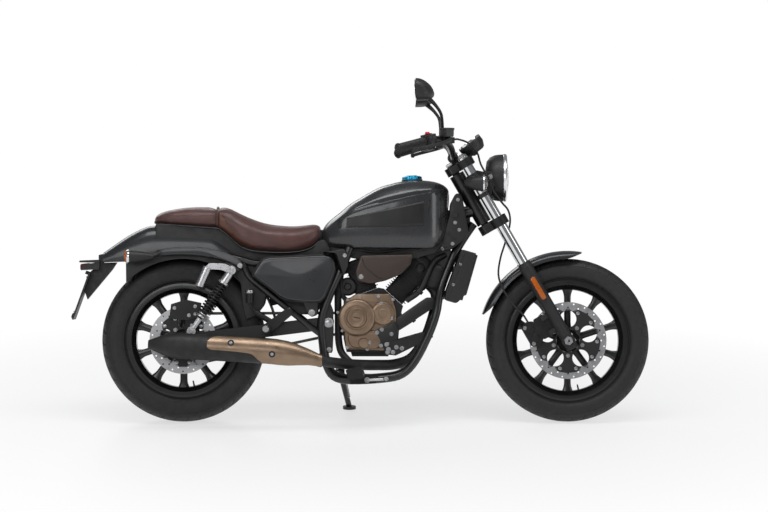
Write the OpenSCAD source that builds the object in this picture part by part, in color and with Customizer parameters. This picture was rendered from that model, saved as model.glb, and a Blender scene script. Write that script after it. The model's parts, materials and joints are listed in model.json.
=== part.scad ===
// Cruiser motorcycle on its side stand, leaning left. Everything is drawn upright in the bike's own
// frame (x forward from the rear axle, y to the left, z up from the ground) and leaned at the end.

/* [Chassis] */
// Distance between the two axles
wheelbase = 1380; // [1300:5:1480]
// Fork angle from the vertical, in degrees
rake = 30; // [28:0.5:33]
// Steering axis to fork tube centres
fork_offset = 48; // [44:1:54]
// Lean to the left when parked, in degrees
lean = 9; // [7:0.5:11]
// Rearmost point of the plate holder, from the rear axle
tail_reach = 400; // [370:5:430]

/* [Front wheel] */
// Outer radius of the front tyre
front_tyre_r = 293; // [285:1:300]
// Width of the front tyre
front_tyre_w = 100; // [90:2:110]
// Bead seat radius of the front rim
front_bead_r = 203; // [198:1:208]
// Front brake disc radius
front_disc_r = 138; // [125:1:145]

/* [Rear wheel] */
// Outer radius of the rear tyre
rear_tyre_r = 294; // [286:1:300]
// Width of the rear tyre
rear_tyre_w = 130; // [110:2:140]
// Bead seat radius of the rear rim
rear_bead_r = 190; // [184:1:195]
// Rear brake disc radius
rear_disc_r = 120; // [110:1:126]
// Pitch radius of the rear sprocket
sprocket_r = 92; // [84:1:98]

/* [Axles] */
// Radius of both hollow axles
axle_r = 9; // [8:0.5:10]
// Radius of the hole through each axle
axle_bore_r = 5.5; // [5:0.25:6]
// Gap between axle and hub bore
running_gap = 0.08; // [0.05:0.01:0.1]

/* [Fork] */
// Half the distance between the fork tubes
fork_half = 92; // [88:1:98]
// Radius of the chrome fork tubes
fork_tube_r = 18.5; // [17:0.5:20]
// Radius of the lower fork legs
slider_r = 24; // [22:0.5:26]
// Axle to the lower clamp, along the fork
lower_clamp_s = 493; // [480:1:500]
// Axle to the upper clamp, along the fork
upper_clamp_s = 735; // [725:1:745]

/* [Body] */
// Half width of the fuel tank
tank_half = 132; // [120:2:140]
// Half width of the seat at the rider
seat_half = 135; // [120:5:145]
// Half width of the rear mudguard
fender_half = 91.6; // [86:0.1:91.6]
// Wall of the mudguards
fender_wall = 4; // [3:0.5:5]

/* [Exhaust] */
// Radius of the silencer
silencer_r = 46; // [42:1:48]
// Silencer centre line to the bike's middle
silencer_y = 200; // [196:2:210]
// Radius of the header pipes
header_r = 19; // [17:1:21]

/* [Stand] */
// Stand pivot's tilt, which is how far the leg splays
stand_tilt = 33; // [28:1:36]
// Leg's swing past straight down, in degrees
stand_forward = 12; // [8:1:16]

/* [Hidden] */
$fn = 48;

// ---- where the bike stands ----
front_axle_p = [wheelbase, 0, front_tyre_r];
rear_axle_p = [0, 0, rear_tyre_r];
mirror_out = 400;
grip_end = front_axle_p + [-610, 400, 681];
perch_p = front_axle_p + [-450, 252, 713];
mirror_z = perch_p[2] + 174;
// The front end's places are given from the front axle, so that they follow it
function ahead(p) = front_axle_p + p;
lift = (front_tyre_w + rear_tyre_w) / 4 * (1 - cos(lean));
function leaned_y(y, z) = y * cos(lean) + z * sin(lean);
origin_x = (wheelbase + front_tyre_r - tail_reach) / 2;
origin_y = (leaned_y(mirror_out, mirror_z) + leaned_y(-grip_end[1] - 8, grip_end[2])) / 2;

module parked() translate([-origin_x, -origin_y, lift]) rotate([-lean, 0, 0]) children();

// ---- helpers ----
module pair() { children(); mirror([0, 1, 0]) children(); }

// Fork frame: origin at the front axle, z up along the fork, x square to it and forward.
module on_fork() translate(front_axle_p) rotate([0, -rake, 0]) children();
function fork_pt(p) = front_axle_p + [p[0] * cos(rake) - p[2] * sin(rake), p[1],
    p[0] * sin(rake) + p[2] * cos(rake)];

// A side view outline in x and z, as a slab from y0 to y1.
module slab(points, y0, y1) translate([0, y1, 0]) rotate([90, 0, 0]) linear_extrude(y1 - y0) polygon(points);

// A round bar that runs to the left, along y.
module pin(r, h) rotate([-90, 0, 0]) cylinder(r = r, h = h);

// A round bar from a to b.
module bar(a, b, r) {
    d = b - a;
    translate(a) rotate([0, acos(d[2] / norm(d)), atan2(d[1], d[0])]) cylinder(r = r, h = norm(d));
}

// Catmull-Rom curve through the points, with n steps between each pair.
function ghost(p) = concat([2 * p[0] - p[1]], p, [2 * p[len(p) - 1] - p[len(p) - 2]]);
function spline_at(a, b, c, d, t) = 0.5 * (2 * b + (c - a) * t + (2 * a - 5 * b + 4 * c - d) * t * t
    + (3 * b - a - 3 * c + d) * t * t * t);
function smooth(p, n) = let (g = ghost(p)) concat([for (i = [1:len(g) - 3]) for (k = [0:n - 1])
    spline_at(g[i - 1], g[i], g[i + 1], g[i + 2], k / n)], [p[len(p) - 1]]);

// Solid through closed outlines with equal numbers of points, each running from y towards z. The outline
// of a thin wall goes out along one face and back along the other, and its ends close face to face.
module loft(rings, wall = false) {
    m = len(rings[0]);
    k = len(rings);
    end = wall ? [for (i = [0:m / 2 - 2]) [i, i + 1, m - 2 - i, m - 1 - i]] : [[for (i = [0:m - 1]) i]];
    polyhedron(points = [for (r = rings) each r], faces = concat(end,
        [for (j = [0:k - 2]) for (i = [0:m - 1]) each [
            [j * m + (i + 1) % m, j * m + i, (j + 1) * m + i],
            [(j + 1) * m + (i + 1) % m, j * m + (i + 1) % m, (j + 1) * m + i]]],
        [for (f = end) [for (i = [len(f) - 1:-1:0]) (k - 1) * m + f[i]]]), convexity = 6);
}

// Tube swept along a smooth curve; its frame is carried along so that it doesn't twist.
function unit(v) = v / norm(v);
function square_to(v, t) = unit(v - (v * t) * t);
module tube(points, r, n = 4, sides = 12) {
    c = smooth(points, n);
    k = len(c);
    t = [for (i = [0:k - 1]) unit(c[min(i + 1, k - 1)] - c[max(i - 1, 0)])];
    start = abs(t[0][1]) < 0.8 ? [0, 1, 0] : [1, 0, 0];
    u = [for (i = 0, v = square_to(start, t[0]); i < k; i = i + 1,
        v = i < k ? square_to(v, t[i]) : v) v];
    loft([for (i = [0:k - 1]) [for (a = [0:sides - 1]) c[i]
        + r * (cos(360 * a / sides) * u[i] + sin(360 * a / sides) * cross(t[i], u[i]))]]);
}

// Rounded outline in the plane x: half width w, from z0 to z1, e is 2 for an ellipse, more is squarer.
function power(v, e) = sign(v) * pow(abs(v), e);
function squircle(x, w, z0, z1, e, m = 24) = [for (i = [0:m - 1]) let (a = 360 * i / m)
    [x, w * power(cos(a), 2 / e), (z0 + z1) / 2 + (z1 - z0) / 2 * power(sin(a), 2 / e)]];

// Inverted U outline in the plane x: a wall of thickness t, half width w, skirt at z0, crown at z1.
function arch_shell(x, w, z0, z1, t, m = 12) = concat(
    [for (i = [0:m]) let (a = 180 * i / m) [x, w * power(cos(a), 0.55), z0 + (z1 - z0) * power(sin(a), 0.6)]],
    [for (i = [0:m]) let (a = 180 - 180 * i / m)
        [x, (w - t) * power(cos(a), 0.55), z0 + (z1 - z0 - t) * power(sin(a), 0.6)]]);

// ---- brakes, hubs and chain, which the frame leaves room for ----
disc_wall = 4.5;
pad_gap = 5;
front_disc_y = 60;
rear_disc_y = 82;
front_hub_half = front_disc_y + disc_wall / 2;
rear_hub_half = rear_disc_y - disc_wall / 2;
front_hub_r = 42;
rear_hub_r = 48;
front_rim_w = 64;
rear_rim_w = 90;
sprocket_t = 7;
chain_y = rear_hub_half + sprocket_t / 2;
chain_half = 6.5;
front_sprocket_p = [585, 356];
front_sprocket_r = 32;

// ---- frame ----
neck_r = 27;
backbone_r = 22;
cradle_r = 15;
cradle_half = 116;
rail_r = 12;
rail_half = 104;
swing_pivot = [522, 0, 358];
steer_x = -fork_offset;
neck_low = lower_clamp_s + 21;
neck_high = upper_clamp_s - 19;

// The backbone and the downtubes start at the neck, wherever the front wheel puts it
function at_neck(x, y, s) = fork_pt([x, y, s]);
backbone_front = at_neck(-58.35, 0, 572.93);
backbone_rear = [600, 0, 652];
function by_neck(x, z) = [backbone_front[0] + x, backbone_front[2] + z];
function backbone_z(x) = backbone_rear[2] + (x - backbone_rear[0]) * (backbone_front[2] - backbone_rear[2])
    / (backbone_front[0] - backbone_rear[0]);
backbone_slope = atan(backbone_z(1) - backbone_z(0));
stem_r = 14;
seat_cross_z = 612;
module frame_backbone() color("black") difference() {
    union() {
        on_fork() translate([steer_x, 0, neck_low]) cylinder(r = neck_r, h = neck_high - neck_low);
        bar(backbone_front, backbone_rear, backbone_r);
        slab([by_neck(-13, -20), by_neck(-13, -44), by_neck(-53, -88), by_neck(-113, -110), by_neck(-183, -98),
            by_neck(-143, -44)], -9, 9);
        slab([[612, 655], [612, seat_cross_z - 8], [590, seat_cross_z - 8], [582, 640], [590, 658]], -16, 16);
        bar([600, -cradle_half + 8, seat_cross_z], [600, cradle_half - 8, seat_cross_z], 12);
    }
    on_fork() translate([steer_x, 0, neck_low - 5])
        cylinder(r = stem_r + running_gap, h = neck_high - neck_low + 10);
    cradle_space();
}

cradle_path = [at_neck(-82.87, 24, 531.66), [1008, 29, 662], [978, 38, 612], [946, 68, 540],
    [920, 100, 465], [907, cradle_half, 392], [880, cradle_half, 315], [832, cradle_half, 222],
    [785, cradle_half, 174], [720, cradle_half, 158], [600, cradle_half, 152], [540, cradle_half, 166],
    [512, cradle_half, 215], [500, cradle_half, 290], [497, cradle_half, 370], [522, cradle_half, 450],
    [558, cradle_half, 530], [584, cradle_half - 2, 590], [597, cradle_half - 5, 626]];
// Front engine mount, from the downtube to the crankcase
mount_plate = [[888, 330], [896, 306], [762, 240], [724, 244], [718, 272], [748, 290]];
// The room that a neighbour leaves round the cradle's tubes
module cradle_space() pair() tube(cradle_path, cradle_r + 0.3);
module frame_cradle() color("black") {
    pair() {
        tube(cradle_path, cradle_r);
        slab([[492, 395], [520, 250], [534, 250], [538, 330], [536, 400], [520, 440]],
            cradle_half - 7, cradle_half + 7);
        slab(mount_plate, crankcase_half + 18.3, cradle_half - 5);
    }
    translate([742, crankcase_left + 0.3, 268]) pin(12, cradle_half - crankcase_left - 8);
    // Side stand bracket with its pivot pin, on the left
    on_stand() translate([0, 0, -32]) cylinder(r = 14, h = 32 - stand_eye_t / 2 - 0.3);
    on_stand() translate([0, 0, -32]) cylinder(r = stand_pin_r, h = 32 + stand_eye_t / 2 + 0.3);
    on_stand() translate([0, 0, stand_eye_t / 2 + 0.3]) cylinder(r = 11, h = 5);
}

rail_path = [[576, rail_half, 609], [520, rail_half, 591], [440, rail_half, 572], [330, rail_half, 566],
    [250, rail_half, 572], [200, rail_half, 586], [100, rail_half, 606], [0, rail_half, 612],
    [-92, rail_half, 606]];
brace_path = [[215, rail_half, 570], [240, rail_half, 520], [300, rail_half + 2, 468],
    [370, rail_half + 5, 412], [440, cradle_half - 2, 356], [494, cradle_half, 316]];
shock_lug_t = 10;
module rear_subframe() color("black") difference() {
    union() {
        pair() {
            tube(rail_path, rail_r);
            tube(brace_path, 11);
            slab([[150, 600], [212, 590], [204, 548], [180, 528], [160, 540]], rail_half - shock_lug_t / 2,
                rail_half + shock_lug_t / 2);
            translate([380, rail_half, 568]) pin(8, side_cover_in - rail_half - 0.3);
        }
        bar([420, -rail_half, 571], [420, rail_half, 571], 8);
    }
    cradle_space();
}

neck_plate = [[957, 782], [978, 822], [998, 818], [1008, 770], [1016, 722], [1024, 686], [1013, 655],
    [965, 620], [912, 612], [918, 636], [934, 672], [955, 742]];
neck_plate_in = 52;
module neck_covers() color("dimgray") pair() difference() {
    union() {
        slab(neck_plate, neck_plate_in, neck_plate_in + 12);
        translate([975, backbone_r + 0.3, backbone_z(975)]) pin(8, neck_plate_in - backbone_r);
    }
    for (p = [[985, 800], [990, 690]]) translate([p[0], neck_plate_in - 5, p[1]]) pin(4, 30);
}

// ---- tank, seat and panels ----
// x, half width as a share of the tank's, lowest and highest point, squareness
tank_rings = [[496, 0.36, 652, 676, 2.4], [506, 0.56, 640, 704, 2.6], [530, 0.72, 634, 730, 2.8],
    [570, 0.86, 630, 760, 2.9], [620, 0.95, 628, 796, 2.9], [680, 1, 628, 831, 2.8],
    [740, 1, 628, 854, 2.6], [800, 1, 628, 866, 2.5], [850, 0.98, 630, 869, 2.5],
    [890, 0.9, 634, 865, 2.5], [915, 0.78, 648, 860, 2.4], [935, 0.62, 690, 850, 2.3],
    [948, 0.45, 735, 838, 2.2]];
tunnel_half = backbone_r + 12;
post_r = 8;
module fuel_tank() color("darkslategray") {
    fuel_tank_shell();
    // Rubber posts that the tank sits on
    for (x = [640, 880])
        translate([x, 0, backbone_z(x) + backbone_r / cos(backbone_slope) + post_r * tan(backbone_slope) + 0.3])
            cylinder(r = post_r, h = 13);
}
module fuel_tank_shell() difference() {
    loft([for (s = tank_rings) squircle(s[0], s[1] * tank_half, s[2], s[3], s[4], 32)]);
    slab([[570, 560], [570, backbone_z(570) + tunnel_half], [1000, backbone_z(1000) + tunnel_half],
        [1000, 560]], -tunnel_half, tunnel_half);
    translate(cap_p) rotate([0, cap_slope, 0]) translate([0, 0, -14]) cylinder(r = cap_neck_r + 0.3, h = 40);
}

cap_p = [821, 0, 867];
cap_slope = -2;
cap_r = 33;
cap_neck_r = 24;
module fuel_cap() color("deepskyblue") translate(cap_p) rotate([0, cap_slope, 0]) {
    translate([0, 0, -13]) cylinder(r = cap_neck_r, h = 15);
    translate([0, 0, 1.5]) cylinder(r1 = cap_r, r2 = cap_r - 3, h = 5);
    translate([0, 0, 6.5]) cylinder(r1 = cap_r - 3, r2 = cap_r - 14, h = 4);
}

// Underside of the passenger's part of the seat, which rests on the mudguard
function seat_base(x) = 703 - (x + 50) * 13 / 172;
// x, half width as a share of the seat's, lowest and highest point, squareness
seat_rings = [[-104, 0.42, 712, 732, 2.4], [-92, 0.56, 708, 750, 2.6], [-50, 0.66, seat_base(-50), 763,
    3], [10, 0.72, seat_base(10), 770, 3.2], [70, 0.76, seat_base(70), 771, 3.2],
    [122, 0.8, seat_base(122), 771, 3.2], [140, 0.84, 681, 771, 3.2], [166, 0.9, 660, 765, 3.2],
    [202, 0.98, 628, 747, 3], [240, 1, 612, 730, 3], [290, 1, 605, 713, 3], [340, 0.98, 603, 705, 3],
    [390, 0.92, 604, 702, 3], [430, 0.84, 610, 705, 3], [462, 0.74, 622, 709, 3],
    [482, 0.62, 640, 709, 2.8], [489, 0.5, 655, 705, 2.4]];
module seat() color("saddlebrown")
    loft([for (s = seat_rings) squircle(s[0], s[1] * seat_half, s[2], s[3], s[4], 28)]);

side_cover_in = cradle_half + cradle_r + 0.5;
side_cover_t = 24;
side_cover_outline = [[250, 528], [262, 550], [283, 583], [312, 590], [418, 595], [506, 599], [530, 592],
    [545, 574], [546, 545], [530, 500], [508, 448], [492, 432], [456, 430], [382, 437], [352, 448],
    [308, 485]];
module side_covers() color("dimgray") pair() {
    slab(side_cover_outline, side_cover_in, side_cover_in + side_cover_t);
    slab([[496, 607], [575, 622], [592, 606], [592, 560], [574, 522], [556, 560], [548, 604]],
        side_cover_in, side_cover_in + 12);
    slab([[430, 434], [484, 434], [482, 385], [462, 378], [448, 388]], side_cover_in, side_cover_in + 10);
}

airbox_outline = [[616, 540], [636, 598], [824, 602], [815, 564], [778, 529], [724, 507], [670, 496],
    [624, 506]];
airbox_half = 82;
module airbox_covers() color("rosybrown") pair() slab(airbox_outline, airbox_half, airbox_half + 46);

// ---- engine ----
crank_p = [690, 0, 376];
crankcase_half = 84;
crankcase_left = 66;
front_tilt = 42;
rear_tilt = -20;
barrel_foot = 96;
barrel_length = 86;
// A point in the plane of a cylinder that leans by tilt: along its axis from the crank, and across it
function barrel_pt(tilt, along, across) = [crank_p[0] + along * sin(tilt) + across * cos(tilt),
    crank_p[2] + along * cos(tilt) - across * sin(tilt)];
crankcase_outline = [[575, 300], [586, 252], [740, 250], [770, 280], [778, 380],
    barrel_pt(front_tilt, barrel_foot, 46), barrel_pt(front_tilt, barrel_foot, -46),
    barrel_pt(rear_tilt, barrel_foot, 46), barrel_pt(rear_tilt, barrel_foot, -46), [575, 440]];
module crankcase() color("black") {
    slab(crankcase_outline, -crankcase_half, crankcase_left);
    slab([[600, 254], [606, 236], [735, 236], [742, 254]], -60, 60);
    // Output shaft and its sprocket
    translate([front_sprocket_p[0], crankcase_left - 5, front_sprocket_p[1]]) pin(12, 32);
    translate([front_sprocket_p[0], chain_y - sprocket_t / 2, front_sprocket_p[1]])
        pin(front_sprocket_r - 0.5, sprocket_t);
}

module round_cover(p, r, y0, y1) {
    translate([p[0], y0, p[1]]) pin(r, y1 - y0 - 6);
    translate([p[0], y1 - 6, p[1]]) rotate([-90, 0, 0]) cylinder(r1 = r, r2 = r - 6, h = 6);
}
clutch_p = [623, 376];
clutch_r = 66;
starter_p = [716, 391];
starter_r = 41;
cover_outline = [[576, 335], [582, 262], [740, 256], [764, 285], [764, 400], [744, 462], [620, 462],
    [576, 430]];
generator_p = [712, 372];
generator_r = 74;
module engine_covers() color("tan") {
    mirror([0, 1, 0]) difference() {
        union() {
            slab(cover_outline, crankcase_half + 0.3, crankcase_half + 18);
            round_cover(clutch_p, clutch_r, crankcase_half + 12, crankcase_half + 44);
            round_cover(clutch_p, 36, crankcase_half + 20, crankcase_half + 50);
            round_cover(starter_p, starter_r, crankcase_half + 12, crankcase_half + 36);
        }
        translate([570, crankcase_half - 5, 200]) rotate([0, -8, 0]) cube([8, 30, 60]);
    }
    round_cover(generator_p, generator_r, crankcase_left + 0.3, crankcase_left + 46);
    slab([[550, 322], [568, 306], [660, 306], [660, 412], [568, 412], [550, 396]],
        chain_y + chain_half + 4, chain_y + chain_half + 11);
}

// One cylinder with its head, leaning by tilt from the crank.
module barrel(tilt, y, top) translate(crank_p + [0, y, 0]) rotate([0, tilt, 0]) {
    translate([-46, -48, barrel_foot + 0.3]) cube([92, 96, barrel_length]);
    translate([-54, -56, barrel_foot + barrel_length]) cube([108, 112, top]);
}
front_head_top = 100;
rear_head_top = 38;
intake_z = 577;
module cylinders() color("black") {
    barrel(front_tilt, 8, front_head_top);
    barrel(rear_tilt, -8, rear_head_top);
    // Intake between the two heads
    translate([690, 0.3 - airbox_half, intake_z - 20]) cube([70, 2 * airbox_half - 0.6, 40]);
    bar([640, 0, intake_z - 10], [830, 0, intake_z], 15);
}

radiator_p = [994, 0, 530];
radiator_tilt = 16;
radiator_arm_p = [952.6, 62, 555];
radiator_arm_dir = [cos(24), 0, -sin(24)];
module radiator() color("dimgray") {
    translate(radiator_p) rotate([0, radiator_tilt, 0]) {
        translate([6, -110, -88]) cube([26, 220, 176]);
        pair() slab([[-22, 88], [34, 88], [34, -70], [14, -104], [-30, -104], [-34, -70]], 110, 128);
    }
    // Arms to the downtubes, square to them
    pair() bar(radiator_arm_p + (cradle_r + 0.3) * radiator_arm_dir,
        radiator_arm_p + 54.5 * radiator_arm_dir, 7);
}

// ---- exhaust ----
port_face = 54.3;
// The straight start of a header pipe at its port, which is out from the cylinder head's front or rear face
function port_run(tilt, along, side, y) = [for (out = [0, 9, 18])
    let (p = barrel_pt(tilt, along, side * (port_face + out))) [p[0], y, p[1]]];
header_front = concat(port_run(front_tilt, 215, 1, -20), [[905, -24, 462],
    [905, -30, 420], [892, -38, 366], [866, -48, 298], [820, -58, 232], [760, -64, 208], [690, -66, 205],
    [640, -82, 206], [600, -120, 209], [556, -162, 214], [516, -190, 220], [478, -silencer_y, 229]]);
header_rear = concat(port_run(rear_tilt, 200, -1, -42), [[556, -54, 502],
    [555, -64, 450], [556, -65, 370], [557, -66, 300], [566, -74, 254], [588, -98, 226], [600, -110, 216]]);
module exhaust_headers() color("black") {
    difference() {
        tube(header_front, header_r, 3);
        translate([silencer_end_x + 0.3 - 60, -silencer_y - 60, 150]) cube([60, 120, 150]);
    }
    tube(header_rear, header_r - 6, 3);
}

silencer_tail = [-119, 283];
silencer_length = 400;
silencer_wall = 3;
silencer_end_x = 486;
// Centre height and radius of the silencer and the pipe in front of it, at x
function silencer_z(x) = lookup(x, [[-119, 283], [281, 260], [300, 259], [340, 255], [380, 250],
    [410, 246], [450, 238], [silencer_end_x, 227], [510, 221]]);
function silencer_rad(x) = silencer_r
    * lookup(x, [[340, 1], [380, 0.94], [410, 0.82], [450, 0.62], [486, 0.47], [510, 0.44]]);
silencer_drop = atan(23 / 400);
module silencer() color("dimgray") difference() {
    union() {
        translate([silencer_tail[0], -silencer_y, silencer_tail[1]]) rotate([0, 90 + silencer_drop, 0])
            rotate_extrude()
                polygon([[0, 0], [24, 0], [36, 40], [silencer_r, 86], [silencer_r, silencer_length],
                    [0, silencer_length]]);
        loft([for (x = [262, 300, 340, 360, 380, 395, 410, 430, 450, 468, silencer_end_x])
            [for (a = [0:15:345]) let (r = silencer_rad(x) - 0.4)
                [x, -silencer_y + r * cos(a), silencer_z(x) + r * sin(a)]]]);
    }
    translate([silencer_tail[0], -silencer_y, silencer_tail[1]]) rotate([0, 90 + silencer_drop, 0])
        union() {
            translate([0, 0, -5]) cylinder(r = 16, h = 100);
            translate([0, 0, 90]) cylinder(r = silencer_r - silencer_wall, h = silencer_length - 120);
        }
}

// x, lower and upper angle of the wrap, where 0 is straight out to the side
shield_rings = [[92, 2, 22], [104, -6, 44], [148, -8, 66], [240, -14, 66], [262, -30, 66], [271, -42, 66],
    [281, -55, 66], [290, -66, 66], [340, -72, 66], [380, -74, 68], [410, -74, 70], [450, -74, 72],
    [480, -72, 72], [500, -60, 60]];
shield_gap = 1;
shield_wall = 3;
function shield_arc(s, r, steps) = [for (i = steps) let (a = s[1] + (s[2] - s[1]) * i / 12)
    [s[0], -silencer_y - (silencer_rad(s[0]) + r) * cos(a),
        silencer_z(s[0]) + (silencer_rad(s[0]) + r) * sin(a)]];
module heat_shield() color("burlywood") loft([for (s = shield_rings)
    concat(shield_arc(s, shield_gap, [0:12]), shield_arc(s, shield_gap + shield_wall, [12:-1:0]))],
    wall = true);

// ---- tail ----
seat_gap = 0.5;
// x, skirt height, crown height, half width as a share of the mudguard's
fender_rings = [[-288, 573, 608, 0.8], [-262, 574, 626, 0.86], [-225, 575, 652, 0.94],
    [-190, 576, 674, 0.98], [-150, 580, 694, 1], [-112, 586, 705, 1],
    [-50, 597, seat_base(-50) - seat_gap, 1], [10, 604, seat_base(10) - seat_gap, 1],
    [70, 606, seat_base(70) - seat_gap, 1], [110, 600, seat_base(110) - seat_gap - 2, 1],
    [150, 592, 654, 0.98], [196, 586, 610, 0.95]];
module rear_mudguard() color("darkslategray")
    loft([for (s = fender_rings) arch_shell(s[0], fender_half * s[3], s[1], s[2], fender_wall)], wall = true);

plate_x = 40 - tail_reach;
plate_p = [plate_x, 0, 470];
plate_tilt = 20;
plate_hole_gap = 60;
plate_hole_r = 3.2;
module tail_bracket() color("black") difference() {
    union() {
        slab([[-288.3, 604], [-288.3, 572], [-240, 573], [-256, 548], [plate_x + 14, 440], [plate_x + 2, 474],
            [plate_x + 26, 542], [-306, 560], [-306, 600]], -22, 22);
        slab([[-300, 575], [-366, 564], [-368, 545], [-302, 548]], -62, 62);
        translate(plate_p) rotate([0, plate_tilt, 0]) translate([-3, -70, -108]) cube([6, 140, 178]);
    }
    for (y = [-1, 1]) translate(plate_p) rotate([0, plate_tilt, 0])
        translate([-20, y * plate_hole_gap / 2, 30]) rotate([0, 90, 0]) cylinder(r = plate_hole_r, h = 40);
}

module indicator(length, r) rotate([0, 90, 0]) {
    cylinder(r1 = r * 0.35, r2 = r, h = length * 0.75);
    translate([0, 0, length * 0.75]) cylinder(r = r, h = length * 0.18);
    translate([0, 0, length * 0.93]) cylinder(r1 = r, r2 = r * 0.8, h = length * 0.07);
}
module rear_indicators() color("black") pair() {
    translate([-104, 146, 594]) mirror([1, 0, 0]) indicator(104, 23);
    translate([-82, rail_half + rail_r + 0.3, 606]) pin(8, 14);
    bar([-82, rail_half + rail_r + 10, 606], [-116, 146, 594], 8);
}

// ---- rear suspension ----
arm_in = chain_y + chain_half + 1.5;
arm_t = 8;
arm_out = arm_in + arm_t;
module swingarm() color("black") difference() {
    union() {
        pair() {
            slab([[-34, rear_tyre_r - 20], [-34, rear_tyre_r + 20], [30, rear_tyre_r + 26], [300, 352],
                [swing_pivot[0] + 4, swing_pivot[2] + 20], [swing_pivot[0] + 16, swing_pivot[2]],
                [swing_pivot[0] + 4, swing_pivot[2] - 24], [300, 304], [30, rear_tyre_r - 22]],
                arm_in, arm_out);
            slab([[8, 312], [56, 318], [46, 342], [22, 342]], arm_in, arm_out);
        }
        bar([swing_pivot[0], -arm_in - 1, swing_pivot[2]], [swing_pivot[0], arm_in + 1, swing_pivot[2]], 15);
        slab([[372, 352], [420, 360], [420, 322], [372, 322]], -arm_in - 1, 68);
    }
    translate([0, -200, rear_tyre_r]) pin(axle_r + 0.3, 400);
}

shock_low = [32, 0, 328];
shock_high = [176, 0, 545];
shock_y = 138;
module rear_shocks() color("silver") pair() {
    bar(shock_low + [0, shock_y, 0], shock_high + [0, shock_y, 0], 8);
    d = unit(shock_high - shock_low);
    bar(shock_low + [0, shock_y, 0] + 60 * d, shock_low + [0, shock_y, 0] + 215 * d, 22);
    bar(shock_low + [0, shock_y, 0] + 205 * d, shock_high + [0, shock_y, 0] - 8 * d, 17);
    for (p = [shock_low, shock_high])
        translate(p + [0, shock_y - 13, 0]) pin(15, 26);
    translate(shock_low + [0, arm_out + 0.3, 0]) pin(7, shock_y - arm_out);
    translate(shock_high + [0, rail_half + shock_lug_t / 2 + 0.3, 0]) pin(8, shock_y - rail_half);
    bar([60, shock_y, 487], [90, shock_y, 557], 17);
    slab([[80, 548], [96, 570], [150, 568], [178, 556], [168, 536], [140, 548]], shock_y - 9, shock_y + 9);
}

hugger_half = 70;
module inner_mudguard() color("black") {
    difference() {
        translate(rear_axle_p - [0, hugger_half, 0]) pin(rear_tyre_r + 46, 2 * hugger_half, $fn = 96);
        translate(rear_axle_p - [0, 100, 0]) pin(rear_tyre_r + 40, 200, $fn = 96);
        translate([-500, -200, -200]) cube([690, 400, 1000]);
        translate([180, -200, -10]) cube([400, 400, 384]);
    }
    // Battery box under the seat, and the tab that holds the guard to it
    slab([[350, 559.3], [540, 568.3], [534, 470], [486, 402], [420, 386], [365, 400], [330, 470]],
        -hugger_half, hugger_half);
    slab([[304, 442], [345, 450], [350, 425], [312, 416]], -20, 20);
}

chain_depth = 7;
module chain_loop(grow) rotate([90, 0, 0]) linear_extrude(2 * chain_half, center = true) hull() {
    translate([0, rear_tyre_r]) circle(r = sprocket_r + grow, $fn = 72);
    translate(front_sprocket_p) circle(r = front_sprocket_r + grow, $fn = 72);
}
module drive_chain() color("gray") translate([0, chain_y, 0]) difference() {
    chain_loop(chain_depth + 2);
    rotate([90, 0, 0]) linear_extrude(60, center = true) hull() {
        translate([0, rear_tyre_r]) circle(r = sprocket_r + 2, $fn = 72);
        translate(front_sprocket_p) circle(r = front_sprocket_r + 0.3, $fn = 72);
    }
}

module rear_brake() color("black") {
    difference() {
        union() {
            slab([[-48, 372], [-42, 424], [10, 440], [66, 428], [60, 380], [20, 366]], -rear_disc_y - 18,
                -rear_disc_y + 16);
            slab([[8, 336], [52, 336], [58, 392], [40, 400], [8, 380]], 0.3 - arm_in,
                -rear_disc_y - disc_wall / 2 - pad_gap);
            slab([[10, 310], [50, 310], [52, 340], [8, 340]], 0.3 - arm_in,
                -rear_disc_y - disc_wall / 2 - pad_gap);
        }
        translate([0, -rear_disc_y + disc_wall / 2 + pad_gap, rear_tyre_r]) rotate([90, 0, 0])
            cylinder(r = rear_disc_r + 6, h = disc_wall + 2 * pad_gap);
        translate([-60, -rear_disc_y + disc_wall / 2 + pad_gap - 0.1, 300]) cube([140, 40, 86]);
    }
    bar([335, -127, 350], [262, -127, 394], 10);
    tube([[266, -127, 392], [250, -126, 408], [242, -126, 430]], 5, 3, 8);
    translate([240, -126, 428]) cylinder(r = 14, h = 36);
}

// ---- wheels ----
rim_wall = 5;
rim_lip = 14;
// Tyre section: a round crown whose sidewalls tuck in above the rim's lips and go down to the bead.
tuck = 14;
module tyre(r, w, bead_r, rim_w) rotate([90, 0, 0]) rotate_extrude($fn = 128) intersection() {
    union() {
        translate([r - w / 2, 0]) circle(r = w / 2, $fn = 96);
        translate([bead_r + 0.3, -w / 2]) square([r - w / 2 - bead_r, w]);
    }
    polygon([[bead_r + 0.3, -rim_w / 2], [bead_r + rim_lip + 1, -rim_w / 2],
        [bead_r + rim_lip + 1 + tuck, -w / 2], [r + 1, -w / 2], [r + 1, w / 2],
        [bead_r + rim_lip + 1 + tuck, w / 2], [bead_r + rim_lip + 1, rim_w / 2], [bead_r + 0.3, rim_w / 2]]);
}

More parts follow.
